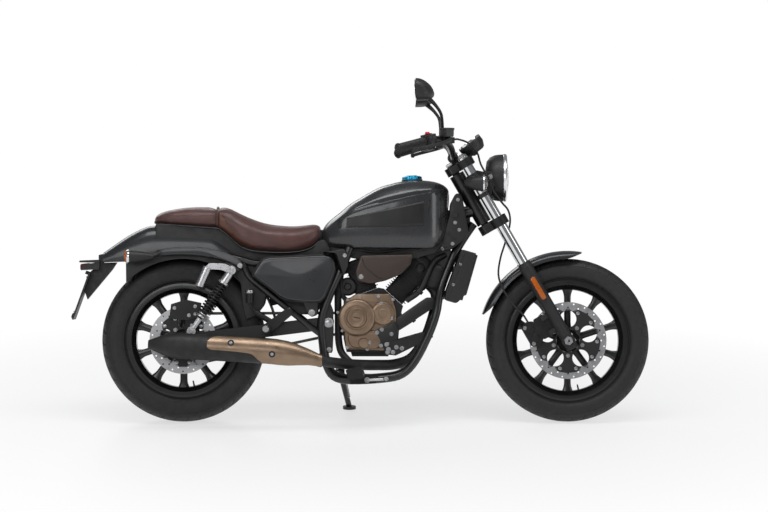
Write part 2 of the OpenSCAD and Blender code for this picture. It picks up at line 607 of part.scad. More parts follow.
spoke_count = 10;
module rim(bead_r, rim_w, hub_r, hub_half, spoke_w, spoke_t) difference() {
    union() {
        rotate([90, 0, 0]) rotate_extrude($fn = 128) polygon([[bead_r + rim_lip, -rim_w / 2 - rim_wall],
            [bead_r + rim_lip, -rim_w / 2 - 0.3], [bead_r, -rim_w / 2 - 0.3], [bead_r, rim_w / 2 + 0.3],
            [bead_r + rim_lip, rim_w / 2 + 0.3], [bead_r + rim_lip, rim_w / 2 + rim_wall],
            [bead_r - rim_wall, rim_w / 2 + rim_wall], [bead_r - 18, rim_w / 2 - 8],
            [bead_r - 18, -rim_w / 2 + 8], [bead_r - rim_wall, -rim_w / 2 - rim_wall]]);
        rotate([90, 0, 0]) translate([0, 0, -hub_half]) cylinder(r = hub_r, h = 2 * hub_half);
        for (i = [0:spoke_count - 1]) rotate([0, 360 * i / spoke_count, 0])
            translate([-spoke_w / 2, -spoke_t / 2, hub_r - 1.5])
                cube([spoke_w, spoke_t, bead_r - 16 - hub_r + 1.5]);
    }
    rotate([90, 0, 0]) translate([0, 0, -200]) cylinder(r = axle_r + running_gap, h = 400);
}

module disc(r, band, hub_r, holes) rotate([90, 0, 0]) difference() {
    cylinder(r = r, h = disc_wall, center = true, $fn = 96);
    cylinder(r = hub_r, h = 3 * disc_wall, center = true);
    for (i = [0:4]) rotate([0, 0, 72 * i + 18]) translate([(r - band + hub_r) / 2, 0, 0])
        cylinder(r = (r - band - hub_r) / 2 - 5, h = 3 * disc_wall, center = true);
    for (i = [0:holes - 1]) rotate([0, 0, 360 * i / holes]) translate([r - band / 2 + (i % 2 ? 6 : -6), 0, 0])
        cylinder(r = 3, h = 3 * disc_wall, center = true);
}

module front_tyre() color("#1c1c1c") translate(front_axle_p)
    tyre(front_tyre_r, front_tyre_w, front_bead_r, front_rim_w);
module front_rim() color("black") translate(front_axle_p)
    rim(front_bead_r, front_rim_w, front_hub_r, front_hub_half, 26, 30);
module front_disc() color("silver") translate(front_axle_p - [0, front_disc_y, 0])
    disc(front_disc_r, 26, front_hub_r + 0.3, 40);
module rear_tyre() color("#1c1c1c") translate(rear_axle_p)
    tyre(rear_tyre_r, rear_tyre_w, rear_bead_r, rear_rim_w);
module rear_rim() color("black") translate(rear_axle_p)
    rim(rear_bead_r, rear_rim_w, rear_hub_r, rear_hub_half, 28, 36);
module rear_disc() color("silver") translate(rear_axle_p - [0, rear_disc_y, 0])
    disc(rear_disc_r, 30, rear_hub_r - 8, 36);
module rear_sprocket() color("gray") translate(rear_axle_p + [0, chain_y, 0]) rotate([90, 0, 0]) difference() {
    cylinder(r = sprocket_r, h = sprocket_t, center = true, $fn = 96);
    cylinder(r = axle_r + 3, h = 30, center = true);
    for (i = [0:5]) rotate([0, 0, 60 * i]) translate([58, 0, 0]) cylinder(r = 15, h = 30, center = true);
}

module axle(half) difference() {
    union() {
        rotate([90, 0, 0]) translate([0, 0, -half]) cylinder(r = axle_r, h = 2 * half);
        pair() translate([0, half - 8, 0]) pin(14, 8);
    }
    rotate([90, 0, 0]) translate([0, 0, -half - 5]) cylinder(r = axle_bore_r, h = 2 * half + 10);
}
front_axle_half = fork_half + slider_r + 8;
rear_axle_half = arm_out + 9;
module front_axle() color("silver") translate(front_axle_p) axle(front_axle_half + 0.3);
module rear_axle() color("silver") translate(rear_axle_p) axle(rear_axle_half + 0.3);

// ---- fork ----
clamp_half_t = 15;
module fork_clamp(s, t) difference() {
    union() {
        translate([steer_x, 0, s - t]) cylinder(r = 30, h = 2 * t);
        pair() translate([0, fork_half, s - t]) cylinder(r = fork_tube_r + 12, h = 2 * t);
        translate([steer_x - 13, -fork_half, s - t + 2]) cube([fork_offset + 21, 2 * fork_half, 2 * t - 4]);
    }
    pair() translate([0, fork_half, s - t - 5]) cylinder(r = fork_tube_r + 0.3, h = 2 * t + 10);
}
bar_p = ahead([-412, 0, 656]);
bar_r = 11;
riser_y = 27;
module fork_clamps() color("black") difference() {
    union() {
        on_fork() fork_clamp(lower_clamp_s, clamp_half_t + 2);
        on_fork() fork_clamp(upper_clamp_s, clamp_half_t);
        on_fork() translate([steer_x, 0, lower_clamp_s])
            cylinder(r = stem_r, h = upper_clamp_s - lower_clamp_s);
        pair() bar(fork_pt([-28, riser_y, upper_clamp_s + 5]), bar_p + [0, riser_y, 0], 12);
        pair() translate(bar_p + [0, riser_y - 12, 0]) pin(19, 24);
    }
    translate(bar_p - [0, 100, 0]) pin(bar_r + 0.2, 200);
}

module fork_tubes() color("gainsboro") on_fork() pair()
    translate([0, fork_half, 120]) cylinder(r = fork_tube_r, h = upper_clamp_s + 22 - 120);

front_fender_in = front_tyre_r + 13;
slider_top = front_fender_in - 6;
caliper_lug_y = fork_half + 6;
module fork_sliders() color("dimgray") on_fork() difference() {
    union() {
        pair() {
            translate([0, fork_half, -34]) cylinder(r = slider_r - 2, h = slider_top - 20);
            translate([0, fork_half, slider_top - 60]) cylinder(r = slider_r, h = 60);
            translate([0, fork_half - slider_r + 2, 0]) pin(24, 2 * slider_r - 4);
        }
        for (z = [48, 106]) translate([-46, -caliper_lug_y, z]) cube([34, 12, 18]);
    }
    pair() translate([0, fork_half, 119]) cylinder(r = fork_tube_r + 0.3, h = slider_top);
    rotate([90, 0, 0]) translate([0, 0, -200]) cylinder(r = axle_r + 0.3, h = 400);
}

front_fender_half = 62;
fender_start = 81;
fender_sweep = 82;
// Section of the front mudguard: an arc over the tyre, whose edges turn down beside it
function fender_section(bulge, half) = [for (i = [0:12]) let (a = 180 * i / 12 - 90)
    [front_fender_in - 14 + bulge * power(cos(a), 0.7), half * power(sin(a), 0.8)]];
function reversed(p) = [for (i = [len(p) - 1:-1:0]) p[i]];
module front_mudguard() color("darkslategray") {
    translate(front_axle_p) rotate([90, -fender_start, 0]) rotate_extrude(angle = fender_sweep, $fn = 128)
        polygon(concat(fender_section(30, front_fender_half),
            reversed(fender_section(30 - fender_wall, front_fender_half - fender_wall))));
    // Stays to the sliders
    on_fork() pair() translate([-13, front_fender_half + 0.2, slider_top - 34])
        cube([26, fork_half - slider_r - front_fender_half - 0.5, 30]);
}

headlight_p = ahead([-253, 0, 584]);
headlight_r = 84;
module headlight() color("black") {
    translate(headlight_p) rotate([0, 90, 0]) {
        translate([0, 0, -42]) cylinder(r1 = headlight_r - 24, r2 = headlight_r - 2, h = 34);
        translate([0, 0, -8]) cylinder(r = headlight_r, h = 40);
        translate([0, 0, 32]) cylinder(r1 = headlight_r - 4, r2 = headlight_r - 24, h = 11);
    }
    // Fork ears that hold it
    on_fork() pair() difference() {
        translate([4, fork_half - 26, 586]) cube([50, 12, 108]);
        translate([0, fork_half, 500]) cylinder(r = fork_tube_r + 0.3, h = 300);
    }
}

instrument_p = ahead([-344, 0, 699]);
module instrument() color("black") {
    translate(instrument_p) rotate([0, -38, 0]) {
        translate([0, 0, -30]) cylinder(r1 = 34, r2 = 46, h = 24);
        translate([0, 0, -6]) cylinder(r = 46, h = 26);
    }
    on_fork() translate([-22, -14, upper_clamp_s + clamp_half_t + 0.3]) cube([52, 28, 10]);
    bar(fork_pt([20, 0, upper_clamp_s + clamp_half_t + 8]), instrument_p - [-12, 0, 16], 12);
}

grip_dir = unit([-112, 98, -32]);
grip_len = 126;
switch_len = 38;
bar_path = [bar_p, bar_p + [0, 44, 0], bar_p + [0, 88, 0], bar_p + [-2, 142, 9], bar_p + [-12, 200, 37],
    bar_p + [-36, 250, 57], grip_end - 174 * grip_dir, grip_end - 166 * grip_dir,
    grip_end - 84 * grip_dir, grip_end];
module bar_tube(r) tube(concat([for (i = [len(bar_path) - 1:-1:1]) let (p = bar_path[i])
    [p[0], -p[1], p[2]]], bar_path), r);
module handlebar() color("black") bar_tube(bar_r);

perch_top = 20;
module hand_controls() color("#222222") difference() {
    pair() {
        bar(grip_end - grip_len * grip_dir, grip_end + 8 * grip_dir, 16.5);
        bar(grip_end - (grip_len + switch_len) * grip_dir, grip_end - (grip_len - 1) * grip_dir, 23);
        // Lever perch with the fluid reservoir, and the lever
        translate(perch_p) rotate([0, 0, -48]) translate([-17, -16, -17]) cube([34, 36, 17 + perch_top]);
        translate(perch_p) rotate([0, 0, -48]) translate([-8, 12, -12]) cube([36, 22, 30]);
        tube([for (p = [[18, 24, 0], [22, 46, -2], [-16, 96, -16], [-72, 140, -30], [-104, 170, -38]])
            perch_p + p], 7, 3, 8);
    }
    bar_tube(bar_r + 0.3);
}

mirror_base = perch_p + [-2, -2, perch_top + 0.7];
module mirrors() color("#2a2a2a") pair() {
    tube([mirror_base, mirror_base + [0, 0, 12], perch_p + [-4, 10, 64], perch_p + [-9, 30, 94],
        perch_p + [-26, 54, 120], perch_p + [-46, 74, 144]], 6, 4, 10);
    hull() {
        for (p = [[-92, 140, 60], [-96, 190, 62], [-80, 208, 55]])
            translate([perch_p[0] + p[0], mirror_out - 62, perch_p[2] + p[1]]) scale([0.34, 1, 0.34])
                sphere(r = p[2], $fn = 20);
        translate([perch_p[0] - 34, mirror_out - 66, perch_p[2] + 154]) sphere(r = 12, $fn = 16);
    }
}

module front_indicators() color("black") pair() {
    translate(ahead([-372, 150, 563])) indicator(84, 30);
    translate(fork_pt([0, fork_half + fork_tube_r + 0.3, 640])) pin(9, 12);
    bar(fork_pt([0, fork_half + fork_tube_r + 9, 640]), ahead([-334, 150, 563]), 8);
}

module front_caliper() color("black") on_fork() difference() {
    union() {
        translate([-122, -front_disc_y - 26, 42]) cube([54, 46, 84]);
        translate([-74, 0.3 - caliper_lug_y + 12, 44]) cube([52, 8, 84]);
    }
    translate([0, -front_disc_y - disc_wall / 2 - pad_gap, 0]) rotate([-90, 0, 0])
        cylinder(r = front_disc_r + 6, h = disc_wall + 2 * pad_gap, $fn = 96);
    translate([0, -front_disc_y + disc_wall / 2 + pad_gap - 0.1, 0]) rotate([-90, 0, 0])
        cylinder(r = front_disc_r - 32, h = 60, $fn = 96);
    translate([0, -fork_half, -20]) cylinder(r = slider_r - 1.7, h = 300);
}

hose_path = [for (p = [[-413.6, -246, 716], [-396, -227, 717], [-360, -186, 705], [-328, -136, 673],
    [-314, -100, 632], [-290, -100, 587], [-268, -98, 537], [-238, -82, 495], [-217, -66, 471],
    [-208, -58, 442], [-210, -54, 407], [-226, -54, 348], [-242, -60, 297], [-250, -74, 237],
    [-234, -82, 185], [-198, -82, 131], [-162, -73, 93], [-143.5, -70, 64.5]]) ahead(p)];
module front_brake_hose() color("black") tube(hose_path, 3.6, 4, 8);

// ---- feet ----
peg_plate_in = cradle_half + cradle_r + 0.3;
module footpegs() color("black") pair() {
    slab([[596, 170], [700, 168], [690, 142], [600, 138]], peg_plate_in, peg_plate_in + 8);
    slab([[584, 190], [640, 196], [650, 166], [594, 158]], peg_plate_in + 14, 262);
    translate([622, peg_plate_in + 4, 166]) pin(9, 14);
    // Passenger's pegs, on arms from the subframe
    slab([[288, 332], [300, 318], [318, 325], [396, 390], [388, 410], [370, 408], [292, 352]], 137.3, 146);
    translate([382, rail_half + 17.5, 402]) pin(9, 18);
    translate([300, 140, 337]) pin(12, 92);
}

module foot_levers() color("silver") pair() {
    translate([660, peg_plate_in + 8.3, 154]) pin(10, 22);
    bar([660, peg_plate_in + 24, 154], [728, peg_plate_in + 36, 158], 5);
    bar([728, peg_plate_in + 30, 158], [728, peg_plate_in + 86, 160], 8);
}

// ---- side stand ----
stand_p = [560, cradle_half + 40, 176];
stand_pin_r = 6;
stand_eye_t = 16;
stand_out = [0, sin(stand_tilt), -cos(stand_tilt)];
stand_dir = sin(stand_forward) * [1, 0, 0] + cos(stand_forward) * stand_out;
ground_slope = tan(lean);
pad_t = 6;
pad_r = 24;
stand_len = (stand_p[2] - ground_slope * stand_p[1] + (lift - pad_t) / cos(lean))
    / (ground_slope * stand_dir[1] - stand_dir[2]);
stand_foot = stand_p + stand_len * stand_dir;
// Stand pivot's own frame, with z along the pivot, outwards
module on_stand() translate(stand_p) rotate([stand_tilt - 90, 0, 0]) children();
module side_stand() color("black") difference() {
    union() {
        bar(stand_p + 14.8 * stand_dir, stand_foot, 10);
        on_stand() translate([0, 0, -stand_eye_t / 2]) cylinder(r = 17, h = stand_eye_t);
        translate(stand_foot) rotate([lean, 0, 0]) translate([0, 0, -pad_t]) cylinder(r = pad_r, h = pad_t + 4);
    }
    on_stand() translate([0, 0, -30]) cylinder(r = stand_pin_r + running_gap, h = 60);
}

parked() frame_backbone();
parked() frame_cradle();
parked() rear_subframe();
parked() neck_covers();
parked() fuel_tank();
parked() fuel_cap();
parked() seat();
parked() side_covers();
parked() airbox_covers();
parked() crankcase();
parked() engine_covers();
parked() cylinders();
parked() radiator();
parked() exhaust_headers();
parked() silencer();
parked() heat_shield();
parked() rear_mudguard();
parked() tail_bracket();
parked() rear_indicators();
parked() swingarm();
parked() rear_shocks();
parked() inner_mudguard();
parked() drive_chain();
parked() rear_brake();
parked() rear_axle();
parked() footpegs();
parked() foot_levers();
parked() side_stand();
parked() fork_clamps();
parked() fork_tubes();
parked() fork_sliders();
parked() front_mudguard();
parked() headlight();
parked() instrument();
parked() handlebar();
parked() hand_controls();
parked() mirrors();
parked() front_indicators();
parked() front_caliper();
parked() front_brake_hose();
parked() front_axle();
parked() front_tyre();
parked() front_rim();
parked() front_disc();
parked() rear_tyre();
parked() rear_rim();
parked() rear_disc();
parked() rear_sprocket();
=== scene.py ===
"""The looks of the parked cruiser motorcycle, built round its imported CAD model."""

import json
import math

import bmesh
import bpy
from mathutils import Matrix, Vector
from mathutils.bvhtree import BVHTree


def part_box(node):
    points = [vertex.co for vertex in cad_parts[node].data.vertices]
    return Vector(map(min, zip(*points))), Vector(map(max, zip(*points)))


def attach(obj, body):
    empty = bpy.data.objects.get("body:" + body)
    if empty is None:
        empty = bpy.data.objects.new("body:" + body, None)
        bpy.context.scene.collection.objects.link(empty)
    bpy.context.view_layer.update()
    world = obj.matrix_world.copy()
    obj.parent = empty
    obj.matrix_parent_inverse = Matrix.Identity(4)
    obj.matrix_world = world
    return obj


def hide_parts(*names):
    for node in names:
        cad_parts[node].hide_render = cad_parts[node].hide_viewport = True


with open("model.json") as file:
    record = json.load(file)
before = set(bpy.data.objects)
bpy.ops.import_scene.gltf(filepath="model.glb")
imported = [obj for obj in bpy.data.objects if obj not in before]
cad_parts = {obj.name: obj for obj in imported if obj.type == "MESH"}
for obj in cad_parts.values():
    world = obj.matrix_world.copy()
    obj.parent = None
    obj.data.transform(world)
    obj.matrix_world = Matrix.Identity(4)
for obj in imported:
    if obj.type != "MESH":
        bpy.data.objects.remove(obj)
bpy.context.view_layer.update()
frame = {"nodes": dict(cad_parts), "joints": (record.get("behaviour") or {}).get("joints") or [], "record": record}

# ---- the bike's own frame: millimetres, x forward, y left, z up, from the ground under the rear axle ----
JOINTS = {j["name"]: j for j in frame["joints"]}
MM = 0.001
FORWARD = Vector((1, 0, 0))
LEFT = Vector(JOINTS["rear_wheel_spin"]["axis"])
UP = FORWARD.cross(LEFT)


def half_length(node):
    low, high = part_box(node)
    return (high.x - low.x) / 2 / MM


REAR_R = half_length("rear_tyre")
FRONT_R = half_length("front_tyre")
BIKE = Matrix((FORWARD, LEFT, UP)).transposed().to_4x4() @ Matrix.Scale(MM, 4)
BIKE.translation = Vector(JOINTS["rear_wheel_spin"]["pos_m"]) - UP * REAR_R * MM
TO_BIKE = BIKE.inverted()
REAR_AXLE = Vector((0, 0, REAR_R))
FRONT_AXLE = TO_BIKE @ Vector(JOINTS["front_wheel_spin"]["pos_m"])
STEER_AXIS = (TO_BIKE.to_3x3() @ Vector(JOINTS["steering"]["axis"])).normalized()
RAKE = math.atan2(-STEER_AXIS.x, STEER_AXIS.z)
FORK = Matrix.Translation(FRONT_AXLE) @ Matrix.Rotation(-RAKE, 4, "Y")


def box_of(node):
    """Lowest and highest corner of a CAD node in the bike's frame."""
    points = [TO_BIKE @ v.co for v in frame["nodes"][node].data.vertices]
    return (Vector([min(p[i] for p in points) for i in range(3)]),
            Vector([max(p[i] for p in points) for i in range(3)]))


def fork_pt(x, y, s):
    """A point on the fork: x square to it and forward, y left, s along it from the axle."""
    return FORK @ Vector((x, y, s))


# ---- curves and outlines ----
def smooth(points, steps):
    """Catmull-Rom curve through points of any dimension."""
    p = [Vector(q) for q in points]
    p = [2 * p[0] - p[1]] + p + [2 * p[-1] - p[-2]]
    out = []
    for i in range(1, len(p) - 2):
        a, b, c, d = p[i - 1:i + 3]
        for k in range(steps):
            t = k / steps
            out.append(0.5 * (2 * b + (c - a) * t + (2 * a - 5 * b + 4 * c - d) * t * t
                              + (3 * b - a - 3 * c + d) * t ** 3))
    return out + [p[-2]]


def lookup(x, table):
    """Value at x in a table of (x, value) pairs, on a straight line between them."""
    if x <= table[0][0]:
        return table[0][1]
    for (x0, v0), (x1, v1) in zip(table, table[1:]):
        if x <= x1:
            return v0 + (v1 - v0) * (x - x0) / (x1 - x0)
    return table[-1][1]


def power(v, e):
    return math.copysign(abs(v) ** e, v)


def around(n):
    """The angles of n equal steps round a circle, in radians."""
    return [2 * math.pi * k / n for k in range(n)]


def circle(r, n, centre=(0, 0)):
    return [(centre[0] + r * math.cos(a), centre[1] + r * math.sin(a)) for a in around(n)]


def polar(centre, radius, degrees, y=0):
    """A point at that radius and angle, from forward to up, beside a centre and y to its left."""
    a = math.radians(degrees)
    return Vector(centre) + Vector((radius * math.cos(a), y, radius * math.sin(a)))


def placed(centre, degrees=0, axis="Y"):
    """The placing of a shape that is turned about an axis and moved to a centre."""
    return Matrix.Translation(Vector(centre)) @ Matrix.Rotation(math.radians(degrees), 4, axis)


def rounded(outline, r, n=4):
    """The outline with each corner rounded by about r."""
    out = []
    p = [Vector(q) for q in outline]
    for i, c in enumerate(p):
        a, b = p[i - 1] - c, p[(i + 1) % len(p)] - c
        cut = min(r, a.length * 0.45, b.length * 0.45)
        a, b = c + a.normalized() * cut, c + b.normalized() * cut
        for k in range(n + 1):
            t = k / n
            out.append(tuple((1 - t) ** 2 * a + 2 * t * (1 - t) * c + t * t * b))
    return out


class Shape:
    """Collects faces in the bike's frame. Look is the number of the material that new faces take."""

    def __init__(self, place=None):
        self.points, self.faces, self.looks = [], [], []
        self.look = 0
        self.place = place or Matrix.Identity(4)

    def add(self, points, faces):
        start = len(self.points)
        self.points += [self.place @ Vector(p) for p in points]
        self.faces += [[start + i for i in f] for f in faces]
        self.looks += [self.look] * len(faces)
        return self

    def loft(self, rings, ends=True, closed=True):
        """Skin over rings with equal numbers of points."""
        m, k = len(rings[0]), len(rings)
        span = m if closed else m - 1
        faces = [[j * m + i, j * m + (i + 1) % m, (j + 1) * m + (i + 1) % m, (j + 1) * m + i]
                 for j in range(k - 1) for i in range(span)]
        if ends:
            faces += [list(range(m))[::-1], [(k - 1) * m + i for i in range(m)]]
        return self.add([p for r in rings for p in r], faces)

    def turn(self, outline, centre=(0, 0, 0), axis=(0, 1, 0), steps=40, closed=False):
        """Turns (radius, height) pairs about an axis. A closed outline makes a ring."""
        z = Vector(axis).normalized()
        x = z.orthogonal().normalized()
        y = z.cross(x)
        rings = []
        for a in around(steps):
            out = math.cos(a) * x + math.sin(a) * y
            rings.append([Vector(centre) + r * out + h * z for r, h in outline])
        m = len(outline)
        span = m if closed else m - 1
        faces = [[j * m + i, j * m + (i + 1) % m, (j + 1) % steps * m + (i + 1) % m,
                  (j + 1) % steps * m + i] for j in range(steps) for i in range(span)]
        return self.add([p for r in rings for p in r], faces)

    def rod(self, a, b, r, r1=None, edge=1.0, steps=20):
        """A round bar from a to b with softened ends."""
        a, b = Vector(a), Vector(b)
        h = (b - a).length
        r1 = r if r1 is None else r1
        edge = min(edge, h / 3, r / 2, r1 / 2)
        outline = [(0, 0), (r - edge, 0), (r, edge), (r1, h - edge), (r1 - edge, h), (0, h)]
        return self.turn(outline, a, b - a, steps)

    def tube(self, path, radius, sides=14, steps=5, flat=1.0):
        """Sweeps a circle, squashed by flat, along a smooth path. Radius is one number or one a point."""
        radii = radius if isinstance(radius, (list, tuple)) else [radius] * len(path)
        line = smooth([(*p, r) for p, r in zip(path, radii)], steps)
        centres = [q.xyz for q in line]
        side = None
        rings = []
        for i, c in enumerate(centres):
            t = (centres[min(i + 1, len(centres) - 1)] - centres[max(i - 1, 0)]).normalized()
            side = (Vector((0, 1, 0)) if abs(t.y) < 0.8 else Vector((1, 0, 0))) if side is None else side
            side = (side - side.dot(t) * t).normalized()
            other = t.cross(side)
            rings.append([c + line[i][3] * (math.cos(a) * side * flat + math.sin(a) * other)
                          for a in around(sides)])
        return self.loft(rings)

    def plate(self, outline, y0, y1):
        """Extrudes an outline in x and z from y0 to y1."""
        return self.loft([[(x, y, z) for x, z in outline] for y in (y0, y1)])

    def brick(self, centre, size, turn=0, axis="Y"):
        """A box, turned about its centre."""
        m = placed(centre, turn, axis)
        x, y, z = (s / 2 for s in size)
        ring = [(-x, -y), (x, -y), (x, y), (-x, y)]
        return self.loft([[m @ Vector((a, b, c)) for a, b in ring] for c in (-z, z)])

    def bolt(self, p, r=5, axis=(0, -1, 0), head=4, socket=False):
        """A bolt head on a washer, with a hexagon outside or a socket inside."""
        p, d = Vector(p), Vector(axis).normalized()
        self.turn([(0, 0), (r * 1.45, 0), (r * 1.45, 1.2), (0, 1.2)], p, d, 20)
        if socket:
            return self.turn([(0, head * 0.4), (r * 0.5, head * 0.4), (r * 0.5, head), (r * 0.85, head),
                              (r, head - 1), (r, 1.2)], p, d, 18)
        return self.turn([(r, 1.2), (r, head - 0.8), (r * 0.85, head), (0, head)], p, d, 6)

    def mirrored(self):
        """Adds the same again on the other side."""
        start, count = len(self.points), len(self.faces)
        self.points += [Vector((p.x, -p.y, p.z)) for p in self.points]
        self.faces += [[i + start for i in reversed(f)] for f in self.faces[:count]]
        self.looks += self.looks[:count]
        return self


def finish_mesh(obj, angle, bevel):
    """Smooth shading with sharp edges kept, and small rounds on them."""
    mesh = obj.data
    mesh.shade_smooth()
    if bevel:
        mod = obj.modifiers.new("Bevel", "BEVEL")
        mod.width = bevel * MM
        mod.segments = 2
        mod.limit_method = "ANGLE"
        mod.angle_limit = math.radians(angle)
        mod.harden_normals = True
    mesh.set_sharp_from_angle(angle=math.radians(angle))


def make(shape, name, body, looks, replaces=(), bevel=0.0, angle=35, thick=0.0):
    """Makes one piece of a shape, which rides on a body and takes the place of some CAD nodes."""
    mesh = bpy.data.meshes.new(name)
    mesh.from_pydata([BIKE @ p for p in shape.points], [], shape.faces)
    mesh.polygons.foreach_set("material_index", shape.looks)
    for look in looks:
        mesh.materials.append(look)
    bm = bmesh.new()
    bm.from_mesh(mesh)
    bmesh.ops.remove_doubles(bm, verts=bm.verts, dist=0.01 * MM)
    bmesh.ops.recalc_face_normals(bm, faces=bm.faces)
    bm.to_mesh(mesh)
    bm.free()
    obj = bpy.data.objects.new(name, mesh)
    bpy.context.scene.collection.objects.link(obj)
    if thick:
        mod = obj.modifiers.new("Solidify", "SOLIDIFY")
        mod.thickness = thick * MM
        mod.offset = -1
    finish_mesh(obj, angle, bevel)
    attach(obj, body)
    if replaces:
        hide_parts(*replaces)
    return obj


FLAT_ANGLE = 1.5
BODY_OF = {n: b for b, ns in frame["record"]["behaviour"]["bodies"].items() for n in ns}


def refine(node, look, bevel=0.8, angle=35, name=None):
    """A copy of a CAD node with softened edges and smooth curves, which takes its place."""
    mesh = frame["nodes"][node].data.copy()
    mesh.materials.clear()
    mesh.materials.append(look)
    bm = bmesh.new()
    bm.from_mesh(mesh)
    bmesh.ops.remove_doubles(bm, verts=bm.verts, dist=0.02 * MM)
    bmesh.ops.dissolve_degenerate(bm, edges=bm.edges, dist=0.01 * MM)
    bmesh.ops.dissolve_limit(bm, verts=bm.verts, edges=bm.edges, angle_limit=math.radians(FLAT_ANGLE),
                             delimit={"SEAM"})
    bm.to_mesh(mesh)
    bm.free()
    obj = bpy.data.objects.new(name or node + "_body", mesh)
    bpy.context.scene.collection.objects.link(obj)
    finish_mesh(obj, angle, bevel)
    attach(obj, BODY_OF[node])
    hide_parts(node)
    return obj


def cut(obj, cutter):
    """Takes a shape out of a piece."""
    tool = make(cutter, "cutter", "chassis", [])
    mod = obj.modifiers.new("Cut", "BOOLEAN")
    mod.object = tool
    mod.solver = "EXACT"
    bpy.context.view_layer.objects.active = obj
    while obj.modifiers[0] != mod:
        bpy.ops.object.modifier_move_up(modifier=mod.name)
    bpy.ops.object.modifier_apply(modifier=mod.name)
    bpy.data.objects.remove(tool)


# ---- materials ----
NOISE_RANGE = (0.3, 0.7)


def add_node(tree, kind, inputs=(), **settings):
    """A shader node with its settings. Each input takes the output that is given for it, or the value."""
    node = tree.nodes.new("ShaderNode" + kind)
    for key, value in settings.items():
        setattr(node, key, value)
    for key, value in dict(inputs).items():
        if isinstance(value, bpy.types.NodeSocket):
            tree.links.new(value, node.inputs[key])
        else:
            node.inputs[key].default_value = value
    return node


class Look:
    """A Principled material, with short ways to add the nodes that vary it."""

    def __init__(self, name, colour, rough, metal=0.0, **sockets):
        self.mat = bpy.data.materials.new(name)
        self.mat.use_nodes = True
        self.tree = self.mat.node_tree
        self.shader = self.tree.nodes["Principled BSDF"]
        self.coords = self.node("TexCoord")["Object"]
        self.colour = colour
        constants = {"Base Color": (*colour, 1), "Roughness": rough, "Metallic": metal}
        constants.update({key.replace("_", " "): value for key, value in sockets.items()})
        for key, value in constants.items():
            self.shader.inputs[key].default_value = value

    def node(self, kind, inputs=(), **settings):
        return add_node(self.tree, kind, inputs, **settings).outputs

    def to_shader(self, value, socket):
        self.tree.links.new(value, self.shader.inputs[socket])
        return self

    def noise(self, scale, detail=3.0, rough=0.55, stretch=None):
        place = self.coords
        if stretch:
            place = self.node("Mapping", {"Scale": stretch, "Vector": place})["Vector"]
        return self.node("TexNoise", {"Scale": scale, "Detail": detail, "Roughness": rough,
                                      "Vector": place})["Fac"]

    def cells(self, scale, feature="DISTANCE_TO_EDGE"):
        return self.node("TexVoronoi", {"Scale": scale, "Vector": self.coords}, feature=feature)["Distance"]

    def vary_colour(self, value, dark, light):
        """The colour runs from dark to light times its own as value does."""
        ramp = add_node(self.tree, "ValToRGB", {"Fac": value})
        for stop, position, factor in zip(ramp.color_ramp.elements, NOISE_RANGE, (dark, light)):
            factors = factor if isinstance(factor, tuple) else (factor,) * 3
            stop.position = position
            stop.color = (*(min(1, c * f) for c, f in zip(self.colour, factors)), 1)
        return self.to_shader(ramp.outputs["Color"], "Base Color")

    def vary_rough(self, value, low, high):
        ends = {"From Min": NOISE_RANGE[0], "From Max": NOISE_RANGE[1], "To Min": low, "To Max": high}
        return self.to_shader(self.node("MapRange", {"Value": value, **ends})["Result"], "Roughness")

    def bump(self, value, strength, distance):
        """Adds relief of that distance in millimetres, on top of what is there."""
        inputs = {"Strength": strength, "Distance": distance * MM, "Height": value}
        normal = self.shader.inputs["Normal"]
        if normal.is_linked:
            inputs["Normal"] = normal.links[0].from_socket
        return self.to_shader(self.node("Bump", inputs)["Normal"], "Normal")


def paint(name, colour, rough, flake=0.0, coat=0.0):
    """Sprayed paint: faint cloudiness, orange peel, and metal flake where it has some."""
    look = Look(name, colour, rough, 0.35 if flake else 0.0, Coat_Weight=coat, Coat_Roughness=0.08)
    look.vary_colour(look.noise(7), 0.9, 1.12)
    if flake:
        look.bump(look.cells(1400, "F1"), flake, 0.02)
    look.vary_rough(look.noise(22), rough * 0.88, rough * 1.15)
    return look.bump(look.noise(380, 1), 0.05, 0.05).mat


def plastic(name, colour, rough):
    look = Look(name, colour, rough)
    look.vary_colour(look.noise(12), 0.88, 1.15)
    look.vary_rough(look.noise(60), rough * 0.85, min(1, rough * 1.15))
    return look.bump(look.noise(900, 2), 0.25, 0.12).mat


def cast(name, colour, rough, metal=0.6):
    """Painted or bare casting with its sandy skin and rubbed patches."""
    look = Look(name, colour, rough, metal)
    look.vary_colour(look.noise(18, 6), 0.82, 1.2)
    look.vary_rough(look.noise(45, 5), rough * 0.8, min(1, rough * 1.25))
    return look.bump(look.noise(1100, 3), 0.3, 0.1).mat


def bright(name, colour, rough, scratch=0.0):
    """Polished or turned metal with fine lines and smears."""
    look = Look(name, colour, rough, 1.0)
    look.vary_colour(look.noise(30), 0.95, 1.04)
    look.vary_rough(look.noise(60, 3), rough * 0.85, rough * 1.25 + 0.01)
    if scratch:
        look.bump(look.noise(160, 4, 0.7, (1, 1, 12)), scratch, 0.02)
    return look.mat


def rubber(name, colour, rough):
    look = Look(name, colour, rough)
    look.vary_colour(look.noise(9, 4), 0.8, 1.25)
    look.vary_rough(look.noise(70, 4), rough * 0.85, min(1, rough * 1.1))
    return look.bump(look.noise(700, 3), 0.2, 0.15).mat


def leather(name, colour, light):
    """Grained hide: pebbles, fine creases and uneven dye."""
    look = Look(name, colour, 0.42, Sheen_Weight=0.12, Sheen_Roughness=0.5)
    look.vary_colour(look.noise(11, 6, 0.65), 0.72, light)
    look.vary_rough(look.noise(35, 4), 0.34, 0.55)
    look.bump(look.cells(620), 0.35, 0.35)
    look.bump(look.noise(60, 5, 0.6), 0.25, 0.6)
    return look.bump(look.noise(1500, 2), 0.15, 0.1).mat


